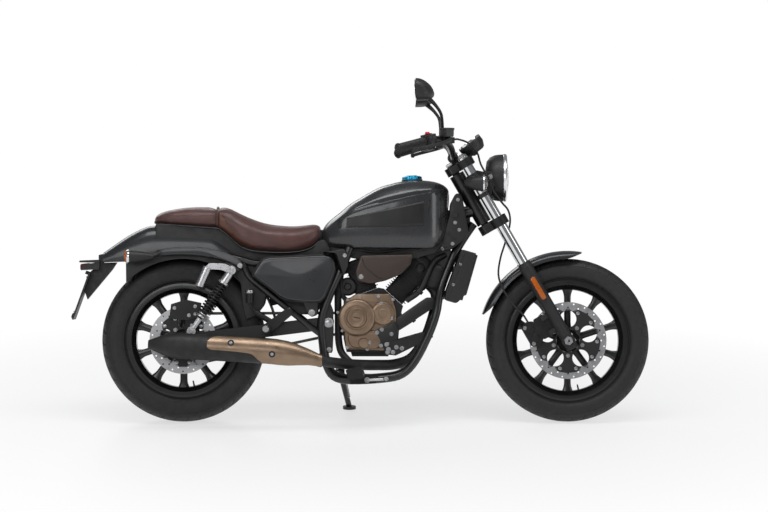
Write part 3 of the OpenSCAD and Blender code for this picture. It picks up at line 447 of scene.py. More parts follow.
def lens(name, colour, rough=0.05, depth=0.75):
    look = Look(name, colour, rough, Transmission_Weight=depth, IOR=1.49)
    look.vary_rough(look.noise(40), rough, rough + 0.05)
    return look.bump(look.noise(90, 1, 0.5, (1, 14, 1)), 0.15, 0.2).mat


TANK = paint("tank_paint", (0.036, 0.037, 0.039), 0.26, 0.02, 0.45)
PANEL = paint("panel_paint", (0.026, 0.027, 0.029), 0.3, 0.02, 0.3)
BAND = paint("band_paint", (0.006, 0.006, 0.0065), 0.42)
FRAME = paint("frame_paint", (0.007, 0.007, 0.0075), 0.34, 0.0, 0.15)
RIM = paint("rim_paint", (0.006, 0.006, 0.0065), 0.3, 0.0, 0.3)
DARK = plastic("dark_plastic", (0.010, 0.010, 0.011), 0.5)
GREY = plastic("grey_plastic", (0.03, 0.031, 0.033), 0.5)
BRONZE = cast("bronze_cover", (0.25, 0.175, 0.12), 0.36, 0.75)
BRONZE_LIGHT = cast("bronze_shield", (0.27, 0.19, 0.13), 0.34, 0.75)
BRONZE_DARK = paint("bronze_panel", (0.052, 0.036, 0.028), 0.36, 0.03)
ENGINE = cast("engine_black", (0.010, 0.010, 0.011), 0.42, 0.3)
HEAT = cast("heat_paint", (0.017, 0.017, 0.018), 0.55, 0.2)
SILVER = bright("alloy_silver", (0.50, 0.50, 0.51), 0.26)
CHROME = bright("chrome", (0.72, 0.73, 0.74), 0.06)
SATIN = bright("satin_chrome", (0.8, 0.81, 0.82), 0.24)
STEEL = bright("ground_steel", (0.46, 0.46, 0.47), 0.34, 0.1)
BOLT = bright("bolt_zinc", (0.42, 0.42, 0.43), 0.3)
CHAIN = bright("chain_steel", (0.2, 0.185, 0.16), 0.42)
BLUE = bright("blue_anodised", (0.02, 0.36, 0.62), 0.24)
RUBBER = rubber("rubber", (0.009, 0.009, 0.0095), 0.6)
TYRE = rubber("tyre", (0.012, 0.012, 0.0125), 0.62)
LEATHER = leather("seat_leather", (0.075, 0.030, 0.025), (1.35, 1.3, 1.3))
TAN = leather("seat_tan", (0.11, 0.04, 0.022), (1.4, 1.25, 1.2))
THREAD = plastic("thread", (0.10, 0.055, 0.045), 0.8)
GLASS = lens("clear_lens", (0.95, 0.96, 0.97), 0.03, 0.92)
AMBER = lens("amber_lens", (0.66, 0.15, 0.008), 0.12, 0.3)
RED = lens("red_lens", (0.55, 0.01, 0.012), 0.1, 0.45)
MIRROR = bright("mirror_glass", (0.9, 0.91, 0.92), 0.02)
KILL_RED = plastic("kill_red", (0.55, 0.012, 0.02), 0.4)
WHITE = plastic("dial_white", (0.75, 0.76, 0.77), 0.5)


def two_tone(node, radius, centre, inner, outer):
    """Gives a CAD disc one material inside a radius and another outside it."""
    mesh = frame["nodes"][node].data
    mesh.materials.clear()
    mesh.materials.append(inner)
    mesh.materials.append(outer)
    for face in mesh.polygons:
        p = TO_BIKE @ face.center - centre
        face.material_index = int(math.hypot(p.x, p.z) > radius)
# ---- camera, light and floor ----
FIELD = 2.765
DISTANCE = 16.0
SENSOR = 36.0
VIEW_CENTRE = BIKE @ Vector((720, 0, 596))
PLAIN_WHITE = (1, 1, 1, 1)
SCENE = bpy.context.scene


def add_camera():
    data = bpy.data.cameras.new("camera")
    data.sensor_width = SENSOR
    data.lens = SENSOR * DISTANCE / FIELD
    data.clip_end = 100
    camera = bpy.data.objects.new("camera", data)
    SCENE.collection.objects.link(camera)
    camera.matrix_world = Matrix((FORWARD, UP, -LEFT)).transposed().to_4x4()
    camera.location = VIEW_CENTRE - LEFT * DISTANCE
    SCENE.camera = camera


def add_world():
    """Dim light from all round, and plain white where the camera looks past everything."""
    world = bpy.data.worlds.new("world")
    SCENE.world = world
    world.use_nodes = True
    tree = world.node_tree
    back = tree.nodes["Background"]
    back.inputs["Color"].default_value = (0.9, 0.92, 0.95, 1)
    back.inputs["Strength"].default_value = 0.24
    plain = add_node(tree, "Background", {"Color": PLAIN_WHITE})
    seen = add_node(tree, "LightPath").outputs["Is Camera Ray"]
    mix = add_node(tree, "MixShader", {"Fac": seen, 1: back.outputs[0], 2: plain.outputs[0]})
    tree.links.new(mix.outputs[0], tree.nodes["World Output"].inputs["Surface"])


def add_lamp(name, size, power_w, location, target):
    light = bpy.data.lights.new(name, "AREA")
    light.shape = "RECTANGLE"
    light.size, light.size_y = size
    light.energy = power_w
    obj = bpy.data.objects.new(name, light)
    SCENE.collection.objects.link(obj)
    obj.location = location
    obj.rotation_euler = (Vector(target) - Vector(location)).to_track_quat("-Z", "Y").to_euler()


def add_floor():
    """A floor that shows the shadow near the bike and fades to plain white away from it."""
    bpy.ops.mesh.primitive_plane_add(size=60)
    floor = bpy.context.object
    floor.name = "floor"
    look = bpy.data.materials.new("floor")
    look.use_nodes = True
    tree = look.node_tree
    shader = tree.nodes["Principled BSDF"]
    shader.inputs["Base Color"].default_value = (0.94, 0.94, 0.94, 1)
    shader.inputs["Roughness"].default_value = 0.4
    white = add_node(tree, "Emission", {"Color": PLAIN_WHITE})
    place = add_node(tree, "TexCoord").outputs["Object"]
    away = add_node(tree, "VectorMath", {0: place}, operation="LENGTH").outputs["Value"]
    ends = {"From Min": 0.7, "From Max": 2.2, "To Min": 0.64, "To Max": 1.0}
    fade = add_node(tree, "MapRange", {"Value": away, **ends}).outputs["Result"]
    ray = add_node(tree, "LightPath").outputs
    seen = ray["Is Camera Ray"]
    for kind in ("Is Glossy Ray", "Is Transmission Ray"):
        seen = add_node(tree, "Math", {0: seen, 1: ray[kind]}, operation="MAXIMUM").outputs[0]
    share = add_node(tree, "Math", {0: seen, 1: fade}, operation="MULTIPLY").outputs[0]
    mix = add_node(tree, "MixShader", {"Fac": share, 1: shader.outputs[0], 2: white.outputs[0]})
    tree.links.new(mix.outputs[0], tree.nodes["Material Output"].inputs["Surface"])
    floor.data.materials.append(look)


SCENE.view_settings.view_transform = "Standard"
add_camera()
add_world()
add_lamp("top_light", (3.4, 1.2), 60, (0.1, -0.9, 3.2), (0, 0, 0.5))
add_lamp("side_light", (3.0, 1.0), 30, (-1.4, -3.6, 1.9), (0, 0, 0.6))
add_lamp("front_light", (1.2, 2.2), 20, (3.4, -1.8, 1.5), (0.3, 0, 0.6))
add_lamp("back_light", (2.6, 1.4), 34, (-1.5, 3.2, 2.2), (0, 0, 0.6))
add_floor()


# ---- wheels ----
SPOKES = 10
RING_STEPS = 20
TREAD_STEPS = 480
TREAD_BLOCKS = 40
TREAD_DEPTH = 3.2
# end: axle, tyre radius, rim width, hub radius, half hub length, spoke widths, spoke depth
WHEELS = {"front": (FRONT_AXLE, FRONT_R, 64, 42, 62.2, (24, 25), 30),
          "rear": (REAR_AXLE, REAR_R, 90, 48, 79.7, (26, 27), 36)}


def tyre_section(r, w, bead, rim_w):
    """One side of a tyre's section, from the bead's foot to the middle of the tread, as (y, radius)."""
    foot = [(rim_w / 2 - 12, bead + 1), (rim_w / 2 - 1, bead + 2), (rim_w / 2 - 1.5, bead + 13)]
    side = [(rim_w / 2 + 1, bead + 19), (w / 2 - 7, bead + 26), (w / 2 - 1.5, bead + (r - bead) * 0.42),
            (w / 2, bead + (r - bead) * 0.56), (w / 2 - 3, r - 26), (w / 2 - 9, r - 17)]
    crown = [(w * 0.36, r - 11), (w * 0.24, r - 4.2), (w * 0.12, r - 1), (0, r)]
    return foot + [tuple(p) for p in smooth(side + crown, 3)]


def tread_depth(u, v):
    """How deep the tread is cut, from 0 to 1, at u blocks round and v across from -1 to 1."""
    zigzag = 0.10 * math.sin(2 * math.pi * u * 0.5)
    if abs(v - zigzag) < 0.035:
        return 1
    side = u + 0.55 * abs(v) ** 1.4 + (0.5 if v > 0 else 0)
    return 1 if side % 1 < 0.13 and 0.2 < abs(v) < 0.93 else 0


def tyre(end, centre, r, w, bead, rim_w):
    """A tyre with its tread cut in, and two fine rings on each wall."""
    half = tyre_section(r, w, bead, rim_w)
    section = half + [(-y, q) for y, q in reversed(half[:-1])]
    rings = []
    for i, a in enumerate(around(TREAD_STEPS)):
        ring = []
        for y, q in section:
            if q > r - 19:
                q -= TREAD_DEPTH * tread_depth(i / TREAD_STEPS * TREAD_BLOCKS, y / (w * 0.46))
            ring.append(centre + Vector((q * math.sin(a), y, q * math.cos(a))))
        rings.append(ring)
    shape = Shape().loft(rings + rings[:1], ends=False)
    wall = sorted((q, y) for y, q in half[3:])
    for side in (-1, 1):
        for q in (bead + 24, bead + (r - bead) * 0.72):
            shape.turn(circle(1.1, 6, (q, side * lookup(q, wall))), centre, steps=90, closed=True)
    make(shape, end + "_tread", end + "_wheel", [TYRE], [end + "_tyre"], angle=28)


def rim(end, centre, bead, rim_w, hub_r, hub_half, widths, depth):
    """A cast wheel: barrel, hub and straight spokes that flare into both."""
    shape = Shape()
    half = rim_w / 2
    inner = bead - 20
    barrel = [(bead + 14, -half - 4.5), (bead + 14, -half - 1), (bead + 1, -half), (bead - 1, -half + 8),
              (bead - 10, -half + 17), (bead - 10, half - 17), (bead - 1, half - 8), (bead + 1, half),
              (bead + 14, half + 1), (bead + 14, half + 4.5), (bead + 11.5, half + 5), (bead - 4, half + 4.4),
              (bead - 10, half - 2), (inner, half - 13), (inner - 2, 0), (inner, -half + 13),
              (bead - 10, -half + 2), (bead - 4, -half - 4.4), (bead + 11.5, -half - 5)]
    shape.turn(barrel, centre, steps=120, closed=True)
    bore = 9.2
    hub = [(bore, hub_half), (bore + 9, hub_half), (bore + 10, hub_half - 5), (hub_r - 6, hub_half - 5),
           (hub_r - 1, hub_half - 2), (hub_r, hub_half - 7), (hub_r - 3, depth / 2 + 3)]
    shape.turn([(q, -y) for q, y in hub] + hub[::-1], centre, steps=64, closed=True)
    for i in range(SPOKES):
        turn = placed(centre, 360 * i / SPOKES)
        rings = []
        for k in range(17):
            t = k / 16
            flare = 13 * (max(0, 1 - t / 0.2) ** 2 + 1.35 * max(0, (t - 0.78) / 0.22) ** 2)
            w = widths[0] + (widths[1] - widths[0]) * t + flare
            d = depth / 2 * (1.12 - 0.2 * t) + 2 * max(0, (t - 0.85) / 0.15)
            q = hub_r - 6 + (inner + 2 - hub_r + 6) * t
            rings.append([turn @ Vector((w / 2 * power(math.cos(a), 0.55), d * power(math.sin(a), 0.5), q))
                          for a in around(RING_STEPS)])
        shape.loft(rings)
    shape.look = 1
    a = math.pi * 0.93
    out = Vector((math.sin(a), 0, math.cos(a)))
    shape.rod(centre + out * (inner + 2), centre + out * (inner - 20), 3.4, 2.4)
    make(shape, end + "_wheel_cast", end + "_wheel", [RIM, RUBBER], [end + "_rim"], angle=32)


def wheel_pieces():
    beads = {end: half_length(end + "_rim") - 14 for end in WHEELS}
    for end, (axle, r, rim_w, *_) in WHEELS.items():
        low, high = box_of(end + "_tyre")
        tyre(end, axle, r, high.y - low.y, beads[end], rim_w)
    for end, (axle, _, rim_w, *casting) in WHEELS.items():
        rim(end, axle, beads[end], rim_w, *casting)


def disc_pieces():
    """Drilled rotors on dark carriers, with their screws."""
    for end, centre, band_r, screw_r, pin_r in (("front", FRONT_AXLE, 111, 54, 104),
                                                ("rear", REAR_AXLE, 88, 46, 82)):
        node = end + "_disc"
        two_tone(node, band_r, centre, DARK, STEEL)
        low, _ = box_of(node)
        face = (centre.x, low.y, centre.z)
        shape = Shape()
        for a in range(54, 414, 72):
            shape.bolt(polar(face, screw_r, a), 5, (0, -1, 0), 4, socket=True)
            for b in (-16, 16):
                shape.turn([(0, 0), (6.5, 0), (6.5, 1.6), (3, 2.2), (0, 2.2)], polar(face, pin_r, a + b),
                           (0, -1, 0), 18)
        make(shape, node + "_screws", end + "_wheel", [BOLT], bevel=0.3)


CHAIN_PITCH = 12.7
CHAIN_R = 94.0
SMALL_CHAIN_R = 34.0
SMALL_SPROCKET = Vector((585, 356))
TEETH = 46
TOOTH_RADII = (88.5, 92.2, 96.4, 92.2)


def chain_line():
    """The chain's closed pitch line round both sprockets."""
    c0, r0 = Vector((0, REAR_R)), CHAIN_R
    c1, r1 = SMALL_SPROCKET, SMALL_CHAIN_R
    d = c1 - c0
    base = math.atan2(d.y, d.x)
    lean = math.acos((r0 - r1) / d.length)
    line = []
    for k in range(33):
        a = base + lean + (2 * math.pi - 2 * lean) * k / 32
        line.append(c0 + r0 * Vector((math.cos(a), math.sin(a))))
    for k in range(17):
        a = base - lean + 2 * lean * k / 16
        line.append(c1 + r1 * Vector((math.cos(a), math.sin(a))))
    return line + [line[0]]


def chain_links():
    line = chain_line()
    low, high = box_of("drive_chain")
    y = (low.y + high.y) / 2
    reach = [0.0]
    for a, b in zip(line, line[1:]):
        reach.append(reach[-1] + (b - a).length)
    links = 2 * round(reach[-1] / CHAIN_PITCH / 2)

    def at(s):
        k = min(max(i for i, v in enumerate(reach) if v <= s), len(line) - 2)
        return line[k].lerp(line[k + 1], (s - reach[k]) / (reach[k + 1] - reach[k]))

    shape = Shape()
    pins = [at(reach[-1] * i / links) for i in range(links)]
    for i, p in enumerate(pins):
        q = pins[(i + 1) % links]
        d = (q - p).normalized()
        n = Vector((-d.y, d.x))
        ring = [tuple(c + s * 5.4 * (math.cos(a) * d + math.sin(a) * n))
                for c, s in ((p, -1), (q, 1)) for a in map(math.radians, (-70, -25, 25, 70))]
        offset = 5.2 if i % 2 else 3.4
        for middle in (y - offset, y + offset):
            shape.plate(ring, middle - 0.8, middle + 0.8)
        shape.turn([(3.9, -2.6), (3.9, 2.6)], (p.x, y, p.y), steps=8)
        shape.turn([(0, -6.3), (1.9, -6.3), (1.9, 6.3), (0, 6.3)], (p.x, y, p.y), steps=6)
    make(shape, "chain_links", "chassis", [CHAIN], ["drive_chain"])


def rear_sprocket():
    """A toothed ring with six round windows, and its six nuts."""
    low, high = box_of("rear_sprocket")
    outline = [(TOOTH_RADII[i % 4] * math.cos(a), TOOTH_RADII[i % 4] * math.sin(a))
               for i, a in enumerate(around(TEETH * 4))]
    inner = circle(13, TEETH * 4)
    rings = [[(REAR_AXLE.x + x, y, REAR_AXLE.z + z) for x, z in ring]
             for ring, y in ((inner, low.y), (outline, low.y), (outline, high.y), (inner, high.y),
                             (inner, low.y))]
    disc = make(Shape().loft(rings, ends=False), "sprocket_teeth", "rear_wheel", [STEEL],
                ["rear_sprocket"], angle=40)
    windows, nuts = Shape(), Shape()
    for a in range(0, 360, 60):
        windows.rod(polar(REAR_AXLE, 62, a + 30, low.y - 9), polar(REAR_AXLE, 62, a + 30, high.y + 9), 16)
        nuts.bolt(polar(REAR_AXLE, 34, a, high.y), 5.5, (0, 1, 0), 5)
    cut(disc, windows)
    make(nuts, "sprocket_nuts", "rear_wheel", [BOLT], bevel=0.3)


def axle_pieces():
    for node in ("front_axle", "rear_axle"):
        refine(node, STEEL, 0.6)
    low, high = box_of("front_axle")
    shape = Shape()
    for end, d in ((low.y, 1), (high.y, -1)):
        shape.turn([(5.8, -1.5), (15.5, -1.5), (16.5, 0), (16.5, 7), (10, 7)],
                   (FRONT_AXLE.x, end + d * 2, FRONT_AXLE.z), (0, d, 0), 6)
    make(shape, "front_axle_nuts", "fork", [BOLT], bevel=0.6)
    low, high = box_of("rear_axle")
    shape = Shape()
    for end, d in ((low.y, 1), (high.y, -1)):
        shape.turn([(5.8, -1), (14, -1), (15.5, 0.5), (15.5, 7), (9.5, 7)], (0, end + d * 1.5, REAR_R),
                   (0, d, 0), 6)
        shape.brick((-6, end + d * 11.5, REAR_R), (34, 2.4, 26))
    make(shape, "rear_axle_nuts", "chassis", [BOLT], bevel=0.5)


wheel_pieces()
disc_pieces()
chain_links()
rear_sprocket()
axle_pieces()


# ---- fork and front end ----
FORK_Y = 92
TUBE_R = 18.5


def fork_pieces():
    refine("fork_tubes", CHROME, 0.5)
    refine("fork_sliders", HEAT, 1.2)
    refine("fork_clamps", ENGINE, 1.4)
    seals = Shape(FORK)
    for y in (-FORK_Y, FORK_Y):
        seals.turn([(TUBE_R + 0.3, 297), (25, 297), (26, 300), (26, 306), (24, 309), (23.2, 318), (19.4, 322),
                    (TUBE_R + 0.3, 322)], (0, y, 0), (0, 0, 1), 36, closed=True)
    make(seals, "dust_seals", "fork", [RUBBER])
    screws = Shape(FORK)
    for y in (-FORK_Y, FORK_Y):
        for s in (14, -10):
            screws.bolt((21, y, s), 4, (1, 0, 0), 4, socket=True)
        for s in (485, 501, 735):
            screws.bolt((26, y * 0.78, s), 4, (1, 0, 0), 4, socket=True)
        screws.turn([(0, 757), (15, 757), (17, 760), (17, 763), (9, 765), (9, 770), (0, 770)], (0, y, 0),
                    (0, 0, 1), 6)
    screws.turn([(0, 750), (17, 750), (19, 753), (19, 761), (17, 764), (0, 764)], (-48, 0, 0), (0, 0, 1), 6)
    make(screws, "fork_screws", "fork", [BOLT], bevel=0.4)
    caps = Shape()
    for y in (-27, 27):
        for x in (-12, 12):
            caps.bolt((968 + x, y, 964), 4, (0.1, 0, 1), 5, socket=True)
    make(caps, "bar_clamp_screws", "fork", [BOLT], bevel=0.3)


MUDGUARD_R = 322
MUDGUARD_BULGE = 30
MUDGUARD_HALF = 62
MUDGUARD_STEPS = 20


def mudguard_section():
    """The blade's section from side to side, as (radius, y)."""
    return [(MUDGUARD_R - MUDGUARD_BULGE * (1 - power(math.cos(a), 0.7)),
             MUDGUARD_HALF * power(math.sin(a), 0.8))
            for a in (math.pi * (k / MUDGUARD_STEPS - 0.5) for k in range(MUDGUARD_STEPS + 1))]


def front_mudguard():
    """A blade round the tyre whose ends draw in and whose edges are rolled."""
    shape = Shape()
    start, sweep, steps = 81, 82, 60
    rings = []
    for i in range(steps + 1):
        t = i / steps
        end = max(0, 1 - min(t, 1 - t) / 0.13)
        flatter, narrower = 1 - 0.8 * end ** 1.6, 1 - 0.3 * end ** 2
        rings.append([polar(FRONT_AXLE, MUDGUARD_R - (MUDGUARD_R - r) * flatter, start + sweep * t,
                            y * narrower)
                      for r, y in mudguard_section()])
    shape.loft(rings, ends=False, closed=False)
    make(shape, "front_mudguard_skin", "fork", [PANEL], ["front_mudguard"], thick=3.2,
         bevel=0.5)
    stays = Shape(FORK)
    for y in (-1, 1):
        outline = rounded([(-14, 262), (14, 262), (16, 300), (4, 320), (-14, 306)], 7)
        stays.plate(outline, *sorted((y * 60.5, y * 65)))
        stays.brick((0, y * 66.5, 281), (26, 4, 30))
    make(stays, "mudguard_stays", "fork", [ENGINE], bevel=0.8)
    screws = Shape(FORK)
    for y in (-1, 1):
        for s in (272, 292):
            screws.bolt((0, y * 69.5, s), 4, (0, y, 0), 4, socket=True)
    make(screws, "mudguard_screws", "fork", [BOLT], bevel=0.3)


HEADLIGHT = Vector((1127, 0, 877))


def headlight():
    bowl = Shape()
    bowl.turn([(0, -42), (30, -42), (58, -38), (74, -26), (82, -8), (84, 8), (84.5, 24), (82.5, 24), (80, 8),
               (70, -18), (40, -34), (0, -36)], HEADLIGHT, (1, 0, 0), 64)
    make(bowl, "headlight_bowl", "fork", [DARK], bevel=0.6)
    ring = Shape()
    ring.turn([(84.6, 22), (86, 24), (86, 31), (83.5, 34), (79, 35.5), (77.5, 33), (81, 30), (82, 22)],
              HEADLIGHT, (1, 0, 0), 72, closed=True)
    make(ring, "headlight_ring", "fork", [SATIN])
    bulb = Shape()
    bulb.turn([(r, -20 + 46 * (r / 78) ** 2) for r in (0, 14, 28, 42, 56, 68, 78)], HEADLIGHT, (1, 0, 0), 64)
    bulb.look = 1
    bulb.turn([(0, -4), (22, -4), (24, -2), (24, 10), (20, 14), (0, 15)], HEADLIGHT, (1, 0, 0), 40)
    for y, z in circle(50, 6):
        bulb.turn([(0, 4), (11, 4), (12, 6), (12, 12), (0, 15)], HEADLIGHT + Vector((0, y, z)), (1, 0, 0), 24)
    make(bulb, "headlight_reflector", "fork", [CHROME, WHITE], thick=1)
    glass = Shape()
    glass.turn([(r, 42.5 - 10 * (r / 79) ** 2) for r in (0, 10, 20, 30, 40, 50, 60, 70, 79)] + [(79, 29)],
               HEADLIGHT, (1, 0, 0), 72)
    make(glass, "headlight_glass", "fork", [GLASS], thick=2.5)
    ears = Shape(FORK)
    for y in (-1, 1):
        arm = rounded([(6, 590), (22, 590), (58, 622), (70, 640), (66, 662), (40, 676), (20, 694),
                       (6, 694)], 8)
        ears.plate(arm, *sorted((y * 67, y * 77)))
        for s0, s1 in ((596, 612), (672, 690)):
            ears.turn([(TUBE_R + 0.4, s0), (23, s0), (23, s1), (TUBE_R + 0.4, s1)], (0, y * FORK_Y, 0),
                      (0, 0, 1), 36, closed=True)
    make(ears, "headlight_ears", "fork", [DARK], ["headlight"], bevel=1.2)
    screws = Shape(FORK)
    for y in (-1, 1):
        screws.bolt((52, y * 77, 648), 6, (0, y, 0), 5, socket=True)
        screws.bolt((16, y * 77, 603), 3.5, (0, y, 0), 3, socket=True)
    make(screws, "headlight_screws", "fork", [BOLT], bevel=0.3)


def instrument():
    place = placed((1036, 0, 992), -38)
    pod = Shape(place)
    pod.turn([(0, -30), (28, -30), (36, -26), (44, -10), (46, -4), (46, 14), (44, 19), (39, 20), (39, 12),
              (0, 12)],
             axis=(0, 0, 1), steps=64)
    pod.brick((0, 0, -22), (40, 62, 12))
    make(pod, "instrument_pod", "fork", [DARK], ["instrument"], bevel=0.8)
    ring = Shape(place)
    ring.turn([(39, 18.5), (41, 20.6), (45, 20), (46.2, 16), (46.2, 12), (45.5, 12), (44.5, 18), (40, 18)],
              axis=(0, 0, 1), steps=64, closed=True)
    make(ring, "instrument_ring", "fork", [CHROME])
    dial = Shape(place)
    dial.turn([(0, 13), (38.5, 13), (38.5, 12)], axis=(0, 0, 1), steps=64)
    dial.look = 1
    for i in range(41):
        a = math.radians(225 - 270 * i / 40)
        inner, width = (31, 0.8) if i % 5 else (27, 1.5)
        d = Vector((math.sin(a), math.cos(a), 0))
        c = d * (inner + 35) / 2 + Vector((0, 0, 13.3))
        dial.brick(c, (width, 35 - inner, 0.5), -math.degrees(a), "Z")
    dial.brick((-12, 0, 13.3), (9, 26, 0.5))
    dial.look = 2
    dial.brick((8, -9, 14.2), (2, 30, 1), 35, "Z")
    dial.turn([(0, 13), (4, 13), (4, 15.4), (0, 16)], axis=(0, 0, 1), steps=20)
    make(dial, "instrument_dial", "fork", [DARK, WHITE, KILL_RED])
    glass = Shape(place)
    glass.turn([(0, 18.5), (20, 18.2), (39.5, 17), (39.5, 16)], axis=(0, 0, 1), steps=64)
    make(glass, "instrument_glass", "fork", [GLASS], thick=1)
    stem = Shape()
    stem.tube([fork_pt(2, 0, 756), fork_pt(26, 0, 766), (1044, 0, 968), (1045, 0, 978)], [13, 12, 12, 15],
              18)
    stem.place = FORK
    stem.brick((4, 0, 755), (50, 32, 8))
    make(stem, "instrument_stem", "fork", [DARK], bevel=1)


GRIP_END = Vector((770, 400, 974))
GRIP_DIR = Vector((-112, 98, -32)).normalized()
GRIP_AHEAD = Vector((0, 0, 1)).cross(GRIP_DIR).normalized()
PERCH = Vector((930, 252, 1006))


def along_grip(s, z=0):
    """A point s back from the grip's end along it, and z above its line."""
    return GRIP_END - s * GRIP_DIR + Vector((0, 0, z))


def handlebar():
    half = [(968, 0, 949), (968, 44, 949), (968, 88, 949), (966, 142, 958), (956, 200, 986), (932, 250, 1006)]
    half += [tuple(along_grip(s)) for s in (174, 166, 84, 0)]
    line = [(x, -y, z) for x, y, z in reversed(half[1:])] + half
    make(Shape().tube(line, 11, 24, 8), "handlebar_tube", "fork", [FRAME], ["handlebar"])
    grips = Shape()
    ribs = [(16.2 if k % 2 else 14.9, 6 + 2.2 * k) for k in range(53)]
    outline = [(11.2, 0), (15, 0), (18.5, 1.5), (18.5, 5), *ribs, (17.5, 122), (17.5, 126), (11.2, 126)]
    grips.turn(outline, GRIP_END + 2 * GRIP_DIR, -GRIP_DIR, 36)
    grips.look = 1
    grips.turn([(0, -7), (9, -7), (14.5, -4), (15.5, 0), (14, 2), (0, 2)], GRIP_END + GRIP_DIR, -GRIP_DIR, 32)
    grips.mirrored()
    make(grips, "handlebar_grips", "fork", [RUBBER, HEAT])


def switches():
    box = Shape()
    box.turn([(11.2, 0), (20, 0), (23.5, 4), (23.5, 15), (22, 17), (22, 19), (23.5, 21), (23.5, 34), (20, 39),
              (11.2, 39)], along_grip(126), -GRIP_DIR, 32)
    box.place = Matrix((GRIP_DIR, GRIP_AHEAD, GRIP_AHEAD.cross(GRIP_DIR))).transposed().to_4x4()
    box.place.translation = along_grip(145)
    keys = Shape(box.place)
    box.brick((0, -3, 0), (36, 44, 42))
    box.mirrored()
    make(box, "switch_housings", "fork", [DARK], bevel=2.2)
    keys.brick((2, -24, 6), (18, 6, 10))
    keys.brick((-6, -24, -9), (10, 5, 8))
    keys.brick((9, -24, -10), (8, 6, 7))
    keys.mirrored()
    make(keys, "switch_keys", "fork", [GREY], bevel=1)
    stop = Shape()
    c = along_grip(140, 22)
    c.y = -c.y
    stop.rod(c, c + Vector((0, 0, 9)), 9, 8, 2)
    make(stop, "kill_switch", "fork", [KILL_RED])


def hand_levers():
    """The levers on their clamps, and the front brake's reservoir on the right one."""
    turn = placed(PERCH, -48, "Z")
    perch = Shape(turn)
    section = rounded([(-16, -17), (16, -17), (16, 17), (-16, 17)], 9)
    perch.loft([[(x, y, z) for x, z in section] for y in (-14, -7, 12, 19)])
    perch.brick((8, 24, 0), (24, 26, 22))
    perch.place = Matrix.Identity(4)
    steps = ((18, 24, 0), (22, 46, -2), (-16, 96, -16), (-72, 140, -30), (-104, 170, -38))
    lever = [PERCH + Vector(v) for v in steps]
    perch.look = 1
    perch.tube(lever, [8, 8.5, 7, 6.5, 6.8], 16, 8, flat=0.62)
    perch.turn([(0, -9), (5, -9), (7.5, -4), (7.5, 3), (5, 8), (0, 9)], lever[-1], (0, 0, 1), 20)
    perch.mirrored()
    make(perch, "lever_perches", "fork", [ENGINE, HEAT], ["hand_controls"], bevel=1.2)
    pot = Shape(Matrix.Scale(-1, 4, (0, 1, 0)) @ turn)
    plans = {k: rounded([(-21 * k, 18 - 16 * k), (21 * k, 18 - 16 * k), (21 * k, 18 + 16 * k),
                         (-21 * k, 18 + 16 * k)], 6) for k in (0.9, 1, 1.02, 1.1)}
    levels = ((12, 0.9), (16, 1), (37, 1.02), (37.5, 1.1), (42, 1.1), (44, 1.02))
    pot.loft([[(x, y, z) for x, y in plans[k]] for z, k in levels])
    make(pot, "front_reservoir", "fork", [GREY], bevel=0.8)


MIRROR_MIDDLE = Vector((830, 338, 1183))


def mirror_face(grow, depth, flat, back):
    """Rings of a mirror's rounded outline. It bulges forward by depth, or is flat and lies further back."""
    rings = []
    for k in range(23):
        a = math.pi * k / 22
        wide = 62 * math.cos(a) * grow
        tall = 41 * math.sin(a) ** 0.6 * grow * (0.82 + 0.3 * k / 22)
        deep = depth * math.sin(a) ** 0.75
        ring = []
        for b in around(28):
            out = deep * max(0, math.cos(b)) ** 0.8 * (1 - 0.35 * math.sin(b)) + flat * math.cos(b)
            z = tall * power(math.sin(b), 0.85)
            x = 10 * (1 - k / 22) + out - 0.06 * z - back
            ring.append(MIRROR_MIDDLE + Vector((x, -wide, z)))
        rings.append(ring)
    return rings


def mirrors():
    stalk = Shape()
    stalk.tube([(928, 250, 1025), (927, 251, 1040), (926, 262, 1070), (921, 282, 1100), (904, 306, 1126),
                (884, 326, 1146), (866, 334, 1160)], [7, 6, 5.6, 5.6, 6, 8, 9], 16, 8)
    stalk.turn([(0, -3), (11, -3), (12, 0), (12, 6), (9, 9), (6, 14)], (928, 250, 1027), (0, 0, 1), 6)
    stalk.mirrored()
    make(stalk, "mirror_stalks", "fork", [ENGINE], ["mirrors"], bevel=0.5)
    for name, look, measures in (("mirror_heads", DARK, (1, 58, 0, 0)),
                                 ("mirror_glasses", MIRROR, (0.93, 0, 1.2, 3))):
        shape = Shape().loft(mirror_face(*measures)).mirrored()
        make(shape, name, "fork", [look], angle=50)


def indicator(shape, p, d, length, r):
    """A bullet lamp from p along d: looks 0, 1 and 2 are its shell, lens and trim."""
    p, d = Vector(p), Vector(d).normalized()
    shape.look = 0
    shape.turn([(0, 0), (r * 0.3, 0), (r * 0.55, length * 0.12), (r * 0.85, length * 0.4),
                (r * 0.97, length * 0.7),
                (r, length * 0.78), (r * 0.93, length * 0.8), (0, length * 0.7)], p, d, 36)
    shape.look = 2
    shape.turn([(r * 0.9, length * 0.78), (r * 1.02, length * 0.78), (r * 1.02, length * 0.84),
                (r * 0.88, length * 0.86)], p, d, 36, closed=True)
    shape.look = 1
    shape.turn([(r * 0.9, length * 0.8), (r * 0.86, length * 0.9), (r * 0.6, length * 0.97), (0, length)],
               p, d, 36)


